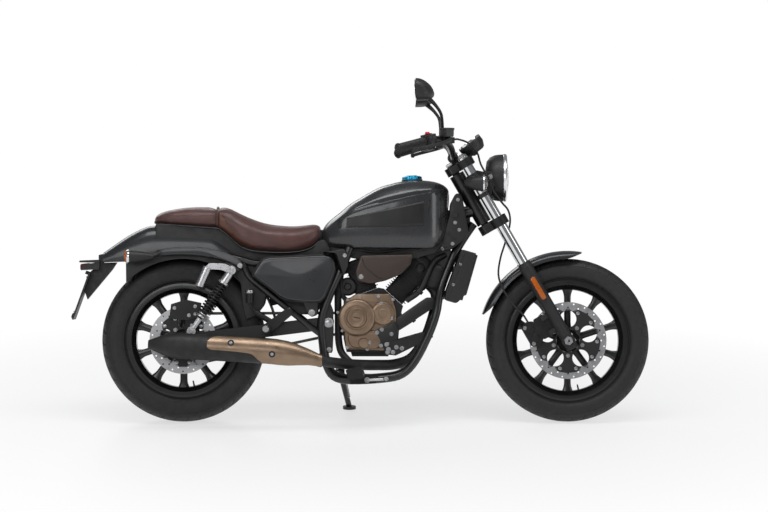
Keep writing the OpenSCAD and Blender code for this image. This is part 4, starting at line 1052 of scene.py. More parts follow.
def front_details():
    lamps = Shape()
    indicator(lamps, (1008, 150, 856), (1, 0, 0), 84, 30)
    lamps.look = 0
    foot = fork_pt(0, FORK_Y + TUBE_R + 0.5, 640)
    lamps.tube([foot, foot + Vector((-4, 14, 2)), (1040, 136, 850), (1044, 150, 856)], [10, 9, 8, 9], 16)
    lamps.mirrored()
    make(lamps, "front_indicator_lamps", "fork", [DARK, GLASS, SATIN], ["front_indicators"],
         bevel=0.5)
    marker = Shape(FORK)
    for side in (-1, 1):
        rings = []
        for y, k in ((116.5, 1), (121, 1), (122.5, 0.94)):
            low, high = 172 + 44 * (1 - k), 262 - 44 * (1 - k)
            outline = rounded([(-9 * k, low), (9 * k, low), (9 * k, high), (-9 * k, high)], 8)
            rings.append([(x, side * y, s) for x, s in outline])
        marker.loft(rings)
    make(marker, "fork_reflectors", "fork", [AMBER])


def front_caliper():
    body = Shape(FORK)
    cheek = rounded([(-124, 44), (-98, 36), (-70, 50), (-66, 84), (-70, 120), (-98, 134), (-124, 122)], 12)
    for y0, y1 in ((-86, -69), (-50, -34)):
        body.plate(cheek, y0, y1)
        for s in (66, 103):
            body.rod((-97, y0 - (3 if y0 < -60 else 0), s), (-97, y0 + 4, s), 15, 15, 2)
    body.brick((-118, -60, 84), (12, 36, 70))
    body.plate(rounded([(-74, 46), (-14, 46), (-14, 128), (-74, 128)], 8), -85.7, -78)
    make(body, "front_caliper_body", "fork", [ENGINE], ["front_caliper"], bevel=1.6)
    screws = Shape(FORK)
    for s in (56, 116):
        screws.bolt((-30, -86, s), 7, (0, -1, 0), 6, socket=True)
    for s in (52, 116):
        screws.bolt((-112, -86, s), 5, (0, -1, 0), 5, socket=True)
    make(screws, "front_caliper_screws", "fork", [BOLT], bevel=0.4)
    refine("front_brake_hose", RUBBER, 0, 60, "front_brake_hose_skin")


fork_pieces()
front_mudguard()
headlight()
instrument()
handlebar()
switches()
hand_levers()
mirrors()
front_details()
front_caliper()


# ---- frame, tank, seat and panels ----
def inset(outline, d):
    """The outline moved inwards by d, which is the same number of points."""
    p = [Vector(q[:2]) for q in outline]
    ahead = p[1:] + p[:1]
    turn = math.copysign(1, sum(a.x * b.y - b.x * a.y for a, b in zip(p, ahead)))
    out = []
    for i, c in enumerate(p):
        a, b = (c - p[i - 1]).normalized(), (ahead[i] - c).normalized()
        n = Vector((-a.y - b.y, a.x + b.x)).normalized() * turn
        out.append(c + n * d / max(0.6, math.sqrt(max(0, (1 + a.dot(b)) / 2))))
    return out


EDGE_STEPS = 5
CROWN_RINGS = (0.92, 0.8, 0.66, 0.5, 0.34, 0.18, 0.05)


def dome(shape, outline, y0, y1, edge=6, crown=0.0, side=1):
    """A moulded panel: an outline from y0 to y1 with a round edge and a crowned face."""
    levels = [(0, y0)]
    for k in range(EDGE_STEPS + 1):
        a = math.pi / 2 * k / EDGE_STEPS
        levels.append((edge * (1 - math.cos(a)), y1 - edge + edge * math.sin(a)))
    rings = [[(q[0], side * y, q[1]) for q in inset(outline, d)] for d, y in levels]
    if crown:
        mid = sum((Vector(p) for p in rings[-1]), Vector()) / len(rings[-1])
        top = [Vector(p) - mid for p in rings[-1]]
        for k in CROWN_RINGS:
            lift = Vector((0, side * crown * (1 - k * k) ** 2, 0))
            rings.append([mid + p * k + lift for p in top])
    return shape.loft(rings)


def bolts(name, spots):
    """Bolt heads at spots of (point, radius, axis, with a socket or not)."""
    shape = Shape()
    for p, r, axis, socket in spots:
        shape.bolt(p, r, axis, r * 0.8, socket)
    make(shape, name, "chassis", [BOLT], bevel=0.3)


def both(x, y, z, r, socket=False):
    return [((x, s * y, z), r, (0, s, 0), socket) for s in (-1, 1)]


def frame_pieces():
    refine("frame_backbone", FRAME, 1.2)
    refine("frame_cradle", FRAME, 1.0)
    refine("rear_subframe", FRAME, 1.0)
    covers = Shape()
    outline = rounded([(957, 782), (978, 822), (998, 818), (1008, 770), (1016, 722), (1024, 686), (1013, 655),
                       (965, 620), (912, 612), (918, 636), (934, 672), (955, 742)], 9)
    dome(covers, outline, 52, 64, 4)
    covers.brick((975, 58, 743), (16, 40, 16))
    covers.brick((962, 65, 668), (34, 5, 5), 40)
    covers.mirrored()
    make(covers, "neck_cover_panels", "chassis", [DARK], ["neck_covers"], bevel=0.5)
    spots = []
    for x, z in ((985, 798), (975, 716), (990, 690), (966, 640), (930, 622)):
        spots += both(x, 64, z, 4.5, True)
    spots += both(522, 123, 358, 12) + both(524, 123, 262, 6) + both(736, 111, 262, 6) + both(882, 111, 318,
                                                                                              6)
    tail_struts()
    bolts("frame_bolts", spots)


def tail_struts():
    """Covers over the tail rails, from the seat's corner to the indicators."""
    line = [(-98, 602), (-60, 610), (0, 614), (60, 612), (120, 602), (165, 588), (200, 568), (214, 552)]
    wide = [9, 12, 14, 15, 15, 15, 14, 9]
    path = smooth([(*p, w) for p, w in zip(line, wide)], 4)
    up, down = [], []
    for i, q in enumerate(path):
        a, b = path[max(0, i - 1)], path[min(len(path) - 1, i + 1)]
        t = (b - a).xy.normalized()
        n = Vector((-t.y, t.x))
        up.append(q.xy + n * q[2])
        down.append(q.xy - n * q[2])
    shape = dome(Shape(), up + down[::-1], 104, 121, 6).mirrored()
    make(shape, "tail_struts", "chassis", [PANEL])
    bolts("strut_bolts", both(205, 121, 562, 6, True) + both(-86, 119, 604, 4, True))


# x, half width, bottom, crease, top
TANK_STATIONS = [
    (494, 42, 646, 655, 668), (500, 62, 640, 668, 690), (510, 76, 636, 680, 708), (530, 95, 632, 699, 728),
    (562, 112, 630, 727, 753), (598, 122, 628, 752, 783), (634, 128, 628, 766, 805), (670, 131, 628, 777,
                                                                                      826),
    (706, 132, 628, 786, 844), (742, 132, 628, 795, 855), (778, 132, 628, 803, 864), (821, 130, 628, 813,
                                                                                      869),
    (850, 127, 628, 818, 869), (886, 118, 629, 824, 866), (910, 104, 637, 826, 861), (930, 84, 668, 826, 853),
    (942, 66, 712, 822, 845), (950, 46, 758, 818, 836), (954, 22, 796, 814, 826)]


BEAM_SLOPE = 0.244


def beam_z(x):
    """Middle height of the backbone's beam, which the tank straddles."""
    return 652 + (x - 600) * BEAM_SLOPE


def tank_side(w, zb, zc):
    """Half section below the crease, from the bottom edge up."""
    return smooth([(0.80 * w, zb), (0.94 * w, zb + 4), (w, zb + 0.42 * (zc - zb)), (0.985 * w, zc - 12),
                   (0.945 * w, zc)], 4)


def tank_ring(x, w, zb, zc, zt):
    top = smooth([(0.945 * w, zc), (0.88 * w, zc + 0.36 * (zt - zc)), (0.60 * w, zt - 0.12 * (zt - zc)),
                  (0, zt)], 5)
    gap = min(34, 0.6 * w)
    roof = max(zb + 1, min(beam_z(x) + 34, zt - 6)) if x > 560 else zb + 1
    half = [Vector((0, roof)), Vector((gap, roof)), Vector((gap + 0.5, zb))] + tank_side(w, zb, zc) + top[1:]
    return [(x, y, z) for y, z in half] + [(x, -y, z) for y, z in half[-2:0:-1]]


def tank_values(x):
    return [lookup(x, [(s[0], s[k]) for s in TANK_STATIONS]) for k in range(1, 5)]


def tank_y(x, z):
    w, zb, zc, _ = tank_values(x)
    return lookup(z, [(q.y, q.x) for q in tank_side(w, zb, zc)])


def tank():
    shape = Shape()
    shape.loft([tank_ring(*v) for v in smooth(TANK_STATIONS, 4)])
    make(shape, "tank_shell", "chassis", [TANK], ["fuel_tank"], angle=26)
    band = Shape()
    for side in (-1, 1):
        rows = []
        for t in (i / 41 for i in range(42)):
            row = []
            for k in range(9):
                z = 697 + 6 * t + (27 + 68 * t) * k / 8
                x = 548 + 322 * t + (z - 697) * 0.18
                row.append((x, side * (tank_y(x, z) + 0.6), z))
            rows.append(row)
        band.loft(rows, ends=False, closed=False)
    make(band, "tank_band", "chassis", [BAND], thick=0.5)
    trim = Shape()
    for side in (-1, 1):
        edge = [(x, side * 0.86 * tank_values(x)[0], tank_values(x)[1] + 1.5)
                for x in (500, 530, 598, 670, 742, 821, 880, 910, 930, 942, 950)]
        trim.tube(edge, 4.2, 10, 4)
    make(trim, "tank_trim", "chassis", [RUBBER])
    tank_tray()
    tank_posts()
    filler_cap()


def tank_tray():
    tray = Shape()
    under = rounded([(498, 606), (500, 638), (560, 644), (905, 646), (934, 662), (926, 636), (905, 606),
                     (824, 586),
                     (630, 584), (560, 596)], 6)
    dome(tray, under, 30, 74, 4)
    for x in (640, 700, 770, 850):
        tray.rod((x, 74, 618), (x, 79, 618), 6)
    tray.tube([(600, 70, 622), (700, 80, 610), (800, 76, 622), (900, 66, 612), (960, 58, 640)], 5, 12, 5)
    tray.mirrored()
    make(tray, "under_tank_tray", "chassis", [DARK], bevel=0.6)


def tank_posts():
    posts = Shape()
    for x in (640, 880):
        posts.rod((x, 0, beam_z(x) + 24.5), (x, 0, beam_z(x) + 37), 12)
    make(posts, "tank_posts", "chassis", [RUBBER])


def filler_cap():
    """A knurled cap in a plain ring."""
    cap = Shape(placed((821, 0, 867), -2))
    cap.turn([(35, -3), (38, 1.5), (37, 4), (33, 4), (33, -3)], axis=(0, 0, 1), steps=64, closed=True)
    cap.look = 1
    ring = [(r * math.cos(a), r * math.sin(a)) for r, a in zip((36, 36, 34.6, 34.6) * 18, around(72))]
    cap.loft([[(x * k, y * k, z) for x, y in ring] for k, z in ((0.97, 2), (1, 4), (1, 11), (0.96, 13.4))],
             ends=False)
    cap.turn([(33.6, 13.4), (29, 15.6), (24, 16.6), (21, 15.6), (9, 16.2), (0, 16.4)], axis=(0, 0, 1),
             steps=64)
    cap.brick((0, 0, 17.4), (36, 9, 3.4))
    make(cap, "filler_cap", "chassis", [GREY, BLUE], ["fuel_cap"], bevel=0.6)


SEAT_HALF = 135
SEAT_TRAVEL = 5
SEAT_BASE = 9
# x, share of the half width, bottom, top, how square the section is
SEAT_RINGS = [
    (-104, 0.42, 712, 732, 2.4), (-92, 0.56, 708, 750, 2.6), (-50, 0.66, 703, 763, 3), (10, 0.72, 698.5,
                                                                                        770, 3.2),
    (70, 0.76, 694, 771, 3.2), (122, 0.80, 690, 771, 3.2), (140, 0.84, 681, 771, 3.2), (166, 0.9, 660, 765,
                                                                                        3.2),
    (202, 0.98, 628, 747, 3), (240, 1, 612, 730, 3), (290, 1, 605, 713, 3), (340, 0.98, 603, 705, 3),
    (390, 0.92, 604, 702, 3), (430, 0.84, 610, 705, 3), (462, 0.74, 622, 709, 3), (482, 0.62, 640, 709, 2.8),
    (489, 0.5, 655, 705, 2.4)]
TAN_EDGE = [(126, 760), (147, 736), (165, 704), (180, 684), (205, 663), (235, 645), (275, 625), (318, 606)]


def seat_ring(x, share, z0, z1, e, shrink=0.0, n=44):
    w = SEAT_HALF * share - shrink
    z0, z1 = z0 + shrink * 0.4, z1 - shrink
    return [(x, w * power(math.cos(a), 2 / e), (z0 + z1) / 2 + (z1 - z0) / 2 * power(math.sin(a), 2 / e))
            for a in around(n)]


def swell(obj, cap, hold):
    """Blows a cushion up as cloth under pressure, with its flat base held, and caps how far it moves."""
    mesh = obj.data
    start = [v.co.copy() for v in mesh.vertices]
    group = obj.vertex_groups.new(name="held")
    group.add([i for i, p in enumerate(start) if hold(TO_BIKE @ p)], 1.0, "REPLACE")
    mod = obj.modifiers.new("Cloth", "CLOTH")
    cloth = mod.settings
    cloth.quality = 6
    cloth.use_pressure = True
    cloth.uniform_pressure_force = 4
    cloth.effector_weights.gravity = 0
    cloth.vertex_group_mass = "held"
    cloth.tension_stiffness = cloth.compression_stiffness = 12
    cloth.bending_stiffness = 2
    scene = bpy.context.scene
    for f in range(1, 21):
        scene.frame_set(f)
    done = obj.evaluated_get(bpy.context.evaluated_depsgraph_get()).data
    moved = [v.co.copy() for v in done.vertices]
    obj.modifiers.remove(mod)
    scene.frame_set(1)
    for v, a, b in zip(mesh.vertices, start, moved):
        step = b - a
        v.co = a + step * min(1, cap * MM / max(step.length, 1e-9))
    mesh.update()


def seat_part(name, rings, replaces=()):
    """A cushion, which starts smaller where the cloth simulation will swell it."""
    shrink = 4
    shape = Shape().loft([seat_ring(*v, shrink=shrink) for v in smooth(rings, 6)])
    obj = make(shape, name, "chassis", [LEATHER, TAN], replaces)
    bpy.context.view_layer.objects.active = obj
    mod = obj.modifiers.new("Remesh", "REMESH")
    mod.mode = "VOXEL"
    mod.voxel_size = 6 * MM
    bpy.ops.object.modifier_apply(modifier=mod.name)
    base = [(x, z) for x, _, z, _, _ in rings]
    swell(obj, SEAT_TRAVEL, lambda p: p.z < lookup(p.x, base) + SEAT_BASE)
    bm = bmesh.new()
    bm.from_mesh(obj.data)
    for _ in range(4):
        bmesh.ops.smooth_vert(bm, verts=bm.verts, factor=0.5, use_axis_x=True, use_axis_y=True,
                              use_axis_z=True)
    bm.to_mesh(obj.data)
    bm.free()
    obj.data.shade_smooth()
    for face in obj.data.polygons:
        p = TO_BIKE @ face.center
        face.material_index = int(126 < p.x < 330 and p.z < lookup(p.x, TAN_EDGE) and abs(p.y) > 40)
    sub = obj.modifiers.new("Smooth", "SUBSURF")
    sub.levels = sub.render_levels = 1
    return obj


def laid(obj, points, lift=0.3):
    """Drops points on a piece's surface: (side, (x, z)) from that side, or (0, (x, y)) from above."""
    tree = BVHTree.FromObject(obj, bpy.context.evaluated_depsgraph_get())
    out = []
    for side, p in points:
        if side:
            start, ray = Vector((p[0], side * 300, p[1])), Vector((0, -side, 0))
        else:
            start, ray = Vector((p[0], p[1], 1000)), Vector((0, 0, -1))
        hit = tree.ray_cast(BIKE @ start, (BIKE.to_3x3() @ ray).normalized())
        if hit[0] is not None:
            out.append(TO_BIKE @ hit[0] - ray * lift)
    return out


STITCH_PITCH = 6.0
STITCH_LENGTH = 3.6
THREAD_R = 0.55


def stitches(shape, line):
    """Short threads along a line."""
    carry = 0.0
    for a, b in zip(line, line[1:]):
        span = (b - a).length
        while carry < span:
            t = carry / span
            p = a.lerp(b, t)
            d = (b - a).normalized() * STITCH_LENGTH / 2
            shape.rod(p - d, p + d, THREAD_R, edge=0.2, steps=6)
            carry += STITCH_PITCH
        carry -= span


def seat():
    rear = seat_part("seat_passenger", SEAT_RINGS[:6])
    front = seat_part("seat_rider", [(124, 0.805, 689, 771, 3.2)] + SEAT_RINGS[6:], replaces=["seat"])
    bpy.context.view_layer.update()
    thread, piping, base = Shape(), Shape(), Shape()
    for x, obj in ((113, rear), (136, front)):
        for side in (-1, 1):
            stitches(thread, laid(obj, [(side, (x + (z - 771) * 0.12, z)) for z in range(700, 762, 6)]))
        stitches(thread, laid(obj, [(0, (x, y)) for y in range(-84, 85, 6)]))
    for side in (-1, 1):
        for shift in (2.1, 6.3):
            seam = smooth([(x + shift, z + shift) for x, z in TAN_EDGE], 5)
            stitches(thread, laid(front, [(side, q) for q in seam]))
    make(thread, "seat_stitches", "chassis", [THREAD])
    for side in (-1, 1):
        seam = laid(front, [(side, q) for q in smooth(TAN_EDGE, 5)], -0.4)
        piping.tube(seam[::3], 1.3, 8, 3)
    ring = [(123, 108 * power(math.cos(a), 0.62), 730.5 + 40.5 * power(math.sin(a), 0.62))
            for a in (math.pi * (k / 30 * 1.34 - 0.17) for k in range(31))]
    piping.tube(ring, 3.0, 10, 2)
    make(piping, "seat_piping", "chassis", [LEATHER])
    base.loft([seat_ring(x, share * 0.965, z0 + 0.5, z0 + SEAT_BASE, 4, n=28)
               for x, share, z0, _, _ in smooth(SEAT_RINGS, 3)])
    make(base, "seat_base", "chassis", [DARK])


def side_covers():
    covers = Shape()
    outline = rounded([(250, 528), (262, 550), (283, 583), (312, 590), (418, 595), (506, 599), (530, 592),
                       (545, 574), (546, 545), (530, 500), (508, 448), (492, 432), (456, 430), (382, 437),
                       (352, 448), (308, 485)], 9, 3)
    dome(covers, outline, 131.5, 152, 8, 3)
    covers.look = 1
    dome(covers, inset(outline, -3.5), 131.5, 137, 2)
    dome(covers, rounded([(496, 607), (575, 622), (592, 606), (592, 560), (574, 522), (556, 560),
                          (548, 604)], 10),
         131.5, 143, 4)
    dome(covers, rounded([(430, 434), (484, 434), (482, 385), (462, 378), (448, 388)], 6), 131.5, 141, 3)
    covers.mirrored()
    make(covers, "side_cover_panels", "chassis", [PANEL, DARK], ["side_covers"])
    bolts("side_cover_bolts", both(462, 141, 394, 8, True) + both(580, 143, 598, 5, True))


def airbox_covers():
    boxes = Shape()
    outline = rounded([(616, 540), (636, 598), (824, 602), (815, 564), (778, 529), (724, 507), (670, 496),
                       (624, 506)], 9)
    dome(boxes, outline, 82, 124, 7, 1)
    panel = rounded([(640, 592), (818, 595), (808, 566), (774, 536), (724, 515), (704, 516), (652, 556)], 8)
    dome(boxes, panel, 118, 128.5, 3, 1)
    boxes.mirrored()
    make(boxes, "airbox_panels", "chassis", [BRONZE_DARK], ["airbox_covers"])
    bolts("airbox_bolts", both(638, 124, 522, 6, True))


def liners_and_shade_sheets():
    """Dark liners that close the space round the battery, the tyre and the intake. They are partly real liners and
    partly painted shade: dark sheets put where those spaces lie in shadow.
    """
    shape = Shape()
    arc = [(x, 294.5 + math.sqrt(291 ** 2 - x * x)) for x in range(212, -206, -16)]
    liner = arc + [(-205, 604), (-100, 612), (0, 616), (60, 614), (120, 604), (170, 590), (214, 560)]
    dome(shape, liner, 72, 80, 1)
    flap = rounded([(150, 592), (240, 600), (258, 545), (280, 505), (300, 462), (290, 420), (262, 384),
                    (226, 366), (214, 420), (206, 500)], 8)
    dome(shape, flap, 72, 84, 3)
    under_seat = rounded([(-98, 712), (-50, 710), (10, 705), (70, 701), (122, 697), (140, 688), (166, 667),
                          (202, 636), (240, 620), (290, 613), (340, 611), (390, 612), (430, 618), (462, 630),
                          (484, 650), (506, 656), (520, 640), (536, 602), (524, 584), (320, 582), (268, 540),
                          (250, 520), (226, 548), (190, 584), (140, 604), (0, 618), (-98, 640)], 6)
    dome(shape, under_seat, 60, 86, 4)
    shape.mirrored()
    shape.brick((497, 0, 668), (22, 76, 44))
    # the dark plastic of these sheets is partly painted shade over the tyre's top and under the seat
    make(shape, "liners_and_shade_sheets", "chassis", [DARK])


def starter_and_hoses():
    """What fills the engine bay behind the barrels: the starter, the coolant hoses and the horn."""
    motor = Shape()
    motor.rod((590, -70, 486), (590, 70, 486), 33, edge=6, steps=36)
    flap = rounded([(842, 596), (900, 618), (948, 640), (966, 606), (950, 560), (930, 520), (910, 480),
                    (890, 500), (898, 540), (860, 576)], 8)
    for s in (-1, 1):
        motor.tube([(572, s * 58, 560), (566, s * 66, 510), (574, s * 62, 450), (600, s * 60, 430)], 8, 14, 5)
        motor.rod((590, s * 70, 486), (590, s * 78, 486), 12, edge=2)
        motor.tube([(940, s * 30, 600), (900, s * 52, 575), (872, s * 66, 520), (846, s * 70, 470),
                    (800, s * 66, 436)], 11, 16, 5)
        motor.tube([(968, s * 44, 470), (930, s * 58, 452), (880, s * 66, 418), (820, s * 68, 372),
                    (770, s * 66, 340)], 12, 16, 5)
        for r, spot, way in ((12, (846, s * 70, 470), (0.6, 0, 0.7)),
                             (13, (820, s * 68, 372), (0.7, 0, 0.6))):
            motor.turn([(r, -7), (r + 3, -6), (r + 3, 6), (r, 7)], spot, way, 28, closed=True)
        dome(motor, flap, s * 18, s * 36, 4)
    motor.turn([(0, 0), (44, 0), (46, 3), (46, 12), (40, 18), (20, 22), (0, 22)], (902, -34, 520), (0, -1, 0),
               48)
    make(motor, "starter_hoses_and_horn", "chassis", [DARK], bevel=0.5)


frame_pieces()
liners_and_shade_sheets()
starter_and_hoses()
tank()
seat()
side_covers()
airbox_covers()


# ---- engine ----
CRANK = Vector((690, 0, 376))
DECK = 182.5
CLUTCH = (623, -84, 376)
PUMP = (716, -84, 391)
ALTERNATOR = (712, 66.4, 372)
RIGHT = (0, -1, 0)


def barrel_place(tilt, y):
    return placed(CRANK + Vector((0, y, 0)), tilt)


def block(shape, x, y, z0, z1, r, top=0.0, bottom=0.0):
    """A block of rounded section about the shape's z axis, drawn in by top and bottom at its ends."""
    plan = rounded([(-x, -y), (x, -y), (x, y), (-x, y)], r, 4)
    levels = [(bottom, z0), (0, z0 + bottom), (0, z1 - top), (top * 0.4, z1 - top * 0.3), (top * 1.1, z1)]
    return shape.loft([[(p[0], p[1], z) for p in inset(plan, d)] for d, z in levels])


def cylinder(name, tilt, y, top):
    """A finned barrel with its head. The head rises by top above the deck."""
    shape = Shape(barrel_place(tilt, y))
    block(shape, 40, 42, 97, 184, 9)
    for i in range(8):
        z = 106 + 9.4 * i
        block(shape, 47.5 - 0.3 * i, 49.5, z, z + 3.2, 9)
    block(shape, 50, 51, DECK, DECK + top - 4, 10, 4)
    full = top > 50
    for i in range(5 if full else 3):
        z = 186 + 8.6 * i
        block(shape, 54.5, 56.5, z, z + 3.4, 9)
    cover = DECK + top - (30 if full else 14)
    block(shape, 53, 55, cover, DECK + top, 12, 7)
    if full:
        for side in (-1, 1):
            shape.turn([(0, 0), (17, 0), (17, 4), (14, 6), (0, 6)], (0, side * 54, 240), (0, side, 0), 32)
            shape.turn([(0, 0), (22, 0), (22, 3), (0, 3)], (0, side * 51, 240), (0, side, 0), 32)
    make(shape, name, "chassis", [ENGINE], bevel=0.7)
    spots = Shape(barrel_place(tilt, y))
    for x in (-1, 1):
        for s in (-1, 1):
            spots.bolt((x * 40, s * 42, DECK + top), 4, (0, 0, 1), 5, socket=True)
            spots.bolt((x * 32, s * 51.5, cover + 8), 3.4, (0, s, 0), 4, socket=True)
    make(spots, name + "_bolts", "chassis", [BOLT], bevel=0.3)


def intake_box():
    intake = Shape(placed((725, 0, 577)))
    block(intake, 35, 81, -19, 20, 8, 3, 3)
    intake.place = Matrix.Identity(4)
    intake.rod((640, 0, 567), (830, 0, 577), 15, edge=3)
    for x in (655, 790, 812):
        intake.turn([(15.5, -6), (18, -6), (18, 6), (15.5, 6)], (x, 0, 568 + (x - 640) * 0.053),
                    (1, 0, 0.05), 32,
                    closed=True)
    make(intake, "intake", "chassis", [DARK], ["cylinders"], bevel=0.8)


def engine_covers():
    covers = Shape()
    plate = rounded([(576, 335), (582, 262), (740, 256), (764, 285), (764, 400), (744, 462), (620, 462),
                     (576, 430)], 14)
    dome(covers, plate, 84.4, 102, 6, side=-1)
    covers.turn([(66.5, 14), (66.5, 34), (65, 39), (61, 43.5), (56, 45), (44, 45.5), (42.5, 43.5), (37, 43.5),
                 (36, 47.5), (34.5, 49.5), (27, 49.5), (25.5, 47), (22, 46.4), (0, 46.4)], CLUTCH, RIGHT, 72)
    covers.turn([(42, 13), (42, 31), (40, 35.5), (36, 37.5), (30, 37.8), (28.5, 36.2), (16, 36.2),
                 (14.5, 37.6), (0, 37.6)], PUMP, RIGHT, 56)
    covers.turn([(20, 16), (20, 24), (17, 27), (0, 27)], (648, -84, 284), RIGHT, 40)
    sump = rounded([(588, 300), (604, 268), (700, 264), (712, 292), (690, 330), (600, 330)], 12)
    dome(covers, sump, 96, 108, 5, side=-1)
    covers.brick((668, -104, 440), (60, 10, 14), 6)
    covers.turn([(74, 0), (74, 30), (72, 38), (66, 44), (58, 46), (40, 46), (38, 44), (20, 44), (18, 46),
                 (0, 46)], ALTERNATOR, (0, 1, 0), 72)
    for a in range(20, 380, 60):
        covers.turn([(8, 0), (8, 34), (6, 37), (0, 37)], polar(ALTERNATOR, 68, a), (0, 1, 0), 20)
    dome(covers, rounded([(550, 322), (568, 306), (660, 306), (660, 412), (568, 412), (550, 396)], 14),
         93.8, 101, 4)
    covers.look = 1
    covers.turn([(29, 49), (31, 51.2), (33.5, 51.2), (35, 49)], CLUTCH, RIGHT, 64, closed=True)
    covers.turn([(0, 46), (17, 46), (17, 48.5), (15.5, 49.8), (0, 49.8)], CLUTCH, RIGHT, 40)
    covers.look = 2
    covers.brick((623, -134.1, 376), (25, 1.2, 3.4), 12)
    make(covers, "engine_cover_castings", "chassis", [BRONZE, BRONZE_LIGHT, ENGINE],
         ["engine_covers"],
         bevel=0.7)


def engine_bolts():
    spots = [(polar(CLUTCH, 71, a, -17.5), 3.6, RIGHT, True) for a in (15, 62, 118, 165, 222, 300)]
    rim_spots = ((588, 268), (660, 262), (735, 266), (752, 300), (752, 440), (700, 452), (634, 452),
                 (586, 330),
                 (756, 352))
    spots += [((x, -101.5, z), 4, RIGHT, True) for x, z in rim_spots]
    spots += [(polar(PUMP, 37, a, -36.4), 4, RIGHT, True) for a in (100, 205, 330)]
    spots += [(polar(ALTERNATOR, 68, a, 36.6), 3.6, (0, 1, 0), True) for a in range(20, 380, 60)]
    spots += [((x, 100.5, z), 3.6, (0, 1, 0), True) for x, z in ((560, 316), (650, 314), (650, 404),
                                                                 (562, 400))]
    bolts("cover_bolts", spots)
    spots = []
    for x, z in ((733, 252), (752, 252), (729, 280), (764, 270), (784, 266)):
        spots += both(x, 111, z, 5.5)
    bolts("mount_bolts", spots)


def engine_guard():
    """A dark bracket over the covers' lower front corner, with an arm up to the front barrel."""
    guard = Shape()
    foot = rounded([(662, 284), (676, 266), (752, 266), (766, 284), (771, 330), (760, 366), (738, 350),
                    (692, 332),
                    (668, 312)], 7)
    dome(guard, foot, 101.5, 107.5, 2, side=-1)
    arm = rounded([(752, 364), (800, 398), (872, 448), (898, 447), (906, 424), (894, 408), (790, 340),
                   (760, 320)], 7)
    dome(guard, arm, 82, 90, 2.5, side=-1)
    make(guard, "engine_guard_plate", "chassis", [FRAME])
    holes = [(695, 322), (712, 333), (668, 286), (709, 275), (734, 280), (747, 317)]
    bolts("guard_bolts", [((x, -107.5, z), 5, RIGHT, True) for x, z in holes])


def radiator():
    place = placed((994, 0, 530), 16)
    core = Shape(place)
    core.brick((18, 0, 0), (20, 188, 166))
    for z in (-84, 84):
        core.brick((19, 0, z), (26, 219, 8))
    for side in (-1, 1):
        tank_plan = rounded([(6, -86), (32, -86), (32, 86), (6, 86)], 6)
        core.loft([[(x, side * y, z) for x, z in tank_plan] for y in (93, 109.5)])
    core.look = 1
    for i in range(24):
        core.brick((29, 0, -78 + 6.8 * i), (3, 186, 2.4))
    for i in range(62):
        core.brick((27.4, -92 + 3.0 * i, 0), (1.6, 0.7, 158))
    make(core, "radiator_core", "chassis", [DARK, GREY], ["radiator"], bevel=0.4)
    shroud = Shape(place)
    outline = rounded([(-22, 88), (34, 88), (34, -70), (14, -104), (-30, -104), (-34, -70)], 9)
    for side in (-1, 1):
        dome(shroud, outline, 110, 127, 5, 1, side=side)
        rib = rounded([(-18, 74), (-8, 74), (-18, -92), (-26, -92)], 3)
        dome(shroud, rib, 124, 130, 2, side=side)
        lip = rounded([(20, 80), (40, 84), (40, -66), (24, -74)], 5)
        dome(shroud, lip, 106, 124, 4, side=side)
    make(shroud, "radiator_shrouds", "chassis", [DARK])
    spots = both(992, 127.5, 567, 4.5, True) + both(966, 127.5, 494, 4.5, True)
    bolts("radiator_bolts", spots)
    arms = Shape()
    d = Vector((math.cos(math.radians(24)), 0, -math.sin(math.radians(24))))
    for side in (-1, 1):
        p = Vector((952.6, side * 62, 555))
        arms.rod(p + 15.4 * d, p + 54 * d, 7)
        arms.rod(p + 15.4 * d, p + 20 * d, 11)
    make(arms, "radiator_arms", "chassis", [FRAME])


# ---- exhaust ----
SILENCER_Y = -200
SILENCER_R = 46
SHIELD_GAP = 4.2
FRONT_PIPE_R = 19
REAR_PIPE_R = 13


def silencer_z(x):
    return lookup(x, [(-119, 283), (281, 260), (300, 259), (340, 255), (380, 250), (410, 246), (450, 238),
                      (486, 227), (510, 221)])


def silencer_r(x):
    return SILENCER_R * lookup(x, [(340, 1), (380, 0.94), (410, 0.82), (450, 0.62), (486, 0.47), (510, 0.44)])


def port(tilt, along, side, y):
    """Three points straight out of a barrel's port."""
    place = barrel_place(tilt, 0)
    return [place @ Vector((side * (54.3 + out), y, along)) for out in (0, 9, 18)]


def header_pipes():
    pipes = Shape()
    front = port(42, 215, 1, -20) + [(905, -24, 462), (905, -30, 420), (892, -38, 366), (866, -48, 298),
                                     (820, -58, 232), (760, -64, 208), (690, -66, 205), (640, -82, 206),
                                     (600, -120, 209), (556, -162, 214), (516, -190, 220), (487, -199, 227)]
    pipes.tube(front, FRONT_PIPE_R, 24, 5)
    rear = port(-20, 200, -1, -42) + [(556, -54, 502), (555, -64, 450), (556, -65, 370), (557, -66, 300),
                                      (566, -74, 254), (588, -98, 226), (600, -110, 216)]
    pipes.tube(rear, REAR_PIPE_R, 20, 5)
    studs = Shape()
    for line, r in ((front, FRONT_PIPE_R), (rear, REAR_PIPE_R)):
        d = (line[2] - line[0]).normalized()
        pipes.turn([(r, 2), (r + 9, 2), (r + 10, 3), (r + 10, 9), (r + 8, 11), (r, 11)], line[0], d, 40,
                   closed=True)
        for s in (-1, 1):
            studs.bolt(line[0] + d * 11 + Vector((0, s * (r + 6), 0)), 4, d, 7)
    pipes.turn([(20, 0), (23.5, 0), (24, 2), (24, 14), (20, 15)], (500, -196, 223.5), (-0.92, -0.36, 0.2), 36,
               closed=True)
    make(pipes, "header_pipes", "chassis", [HEAT], ["exhaust_headers"], bevel=0.4)
    make(studs, "port_nuts", "chassis", [BOLT], bevel=0.3)


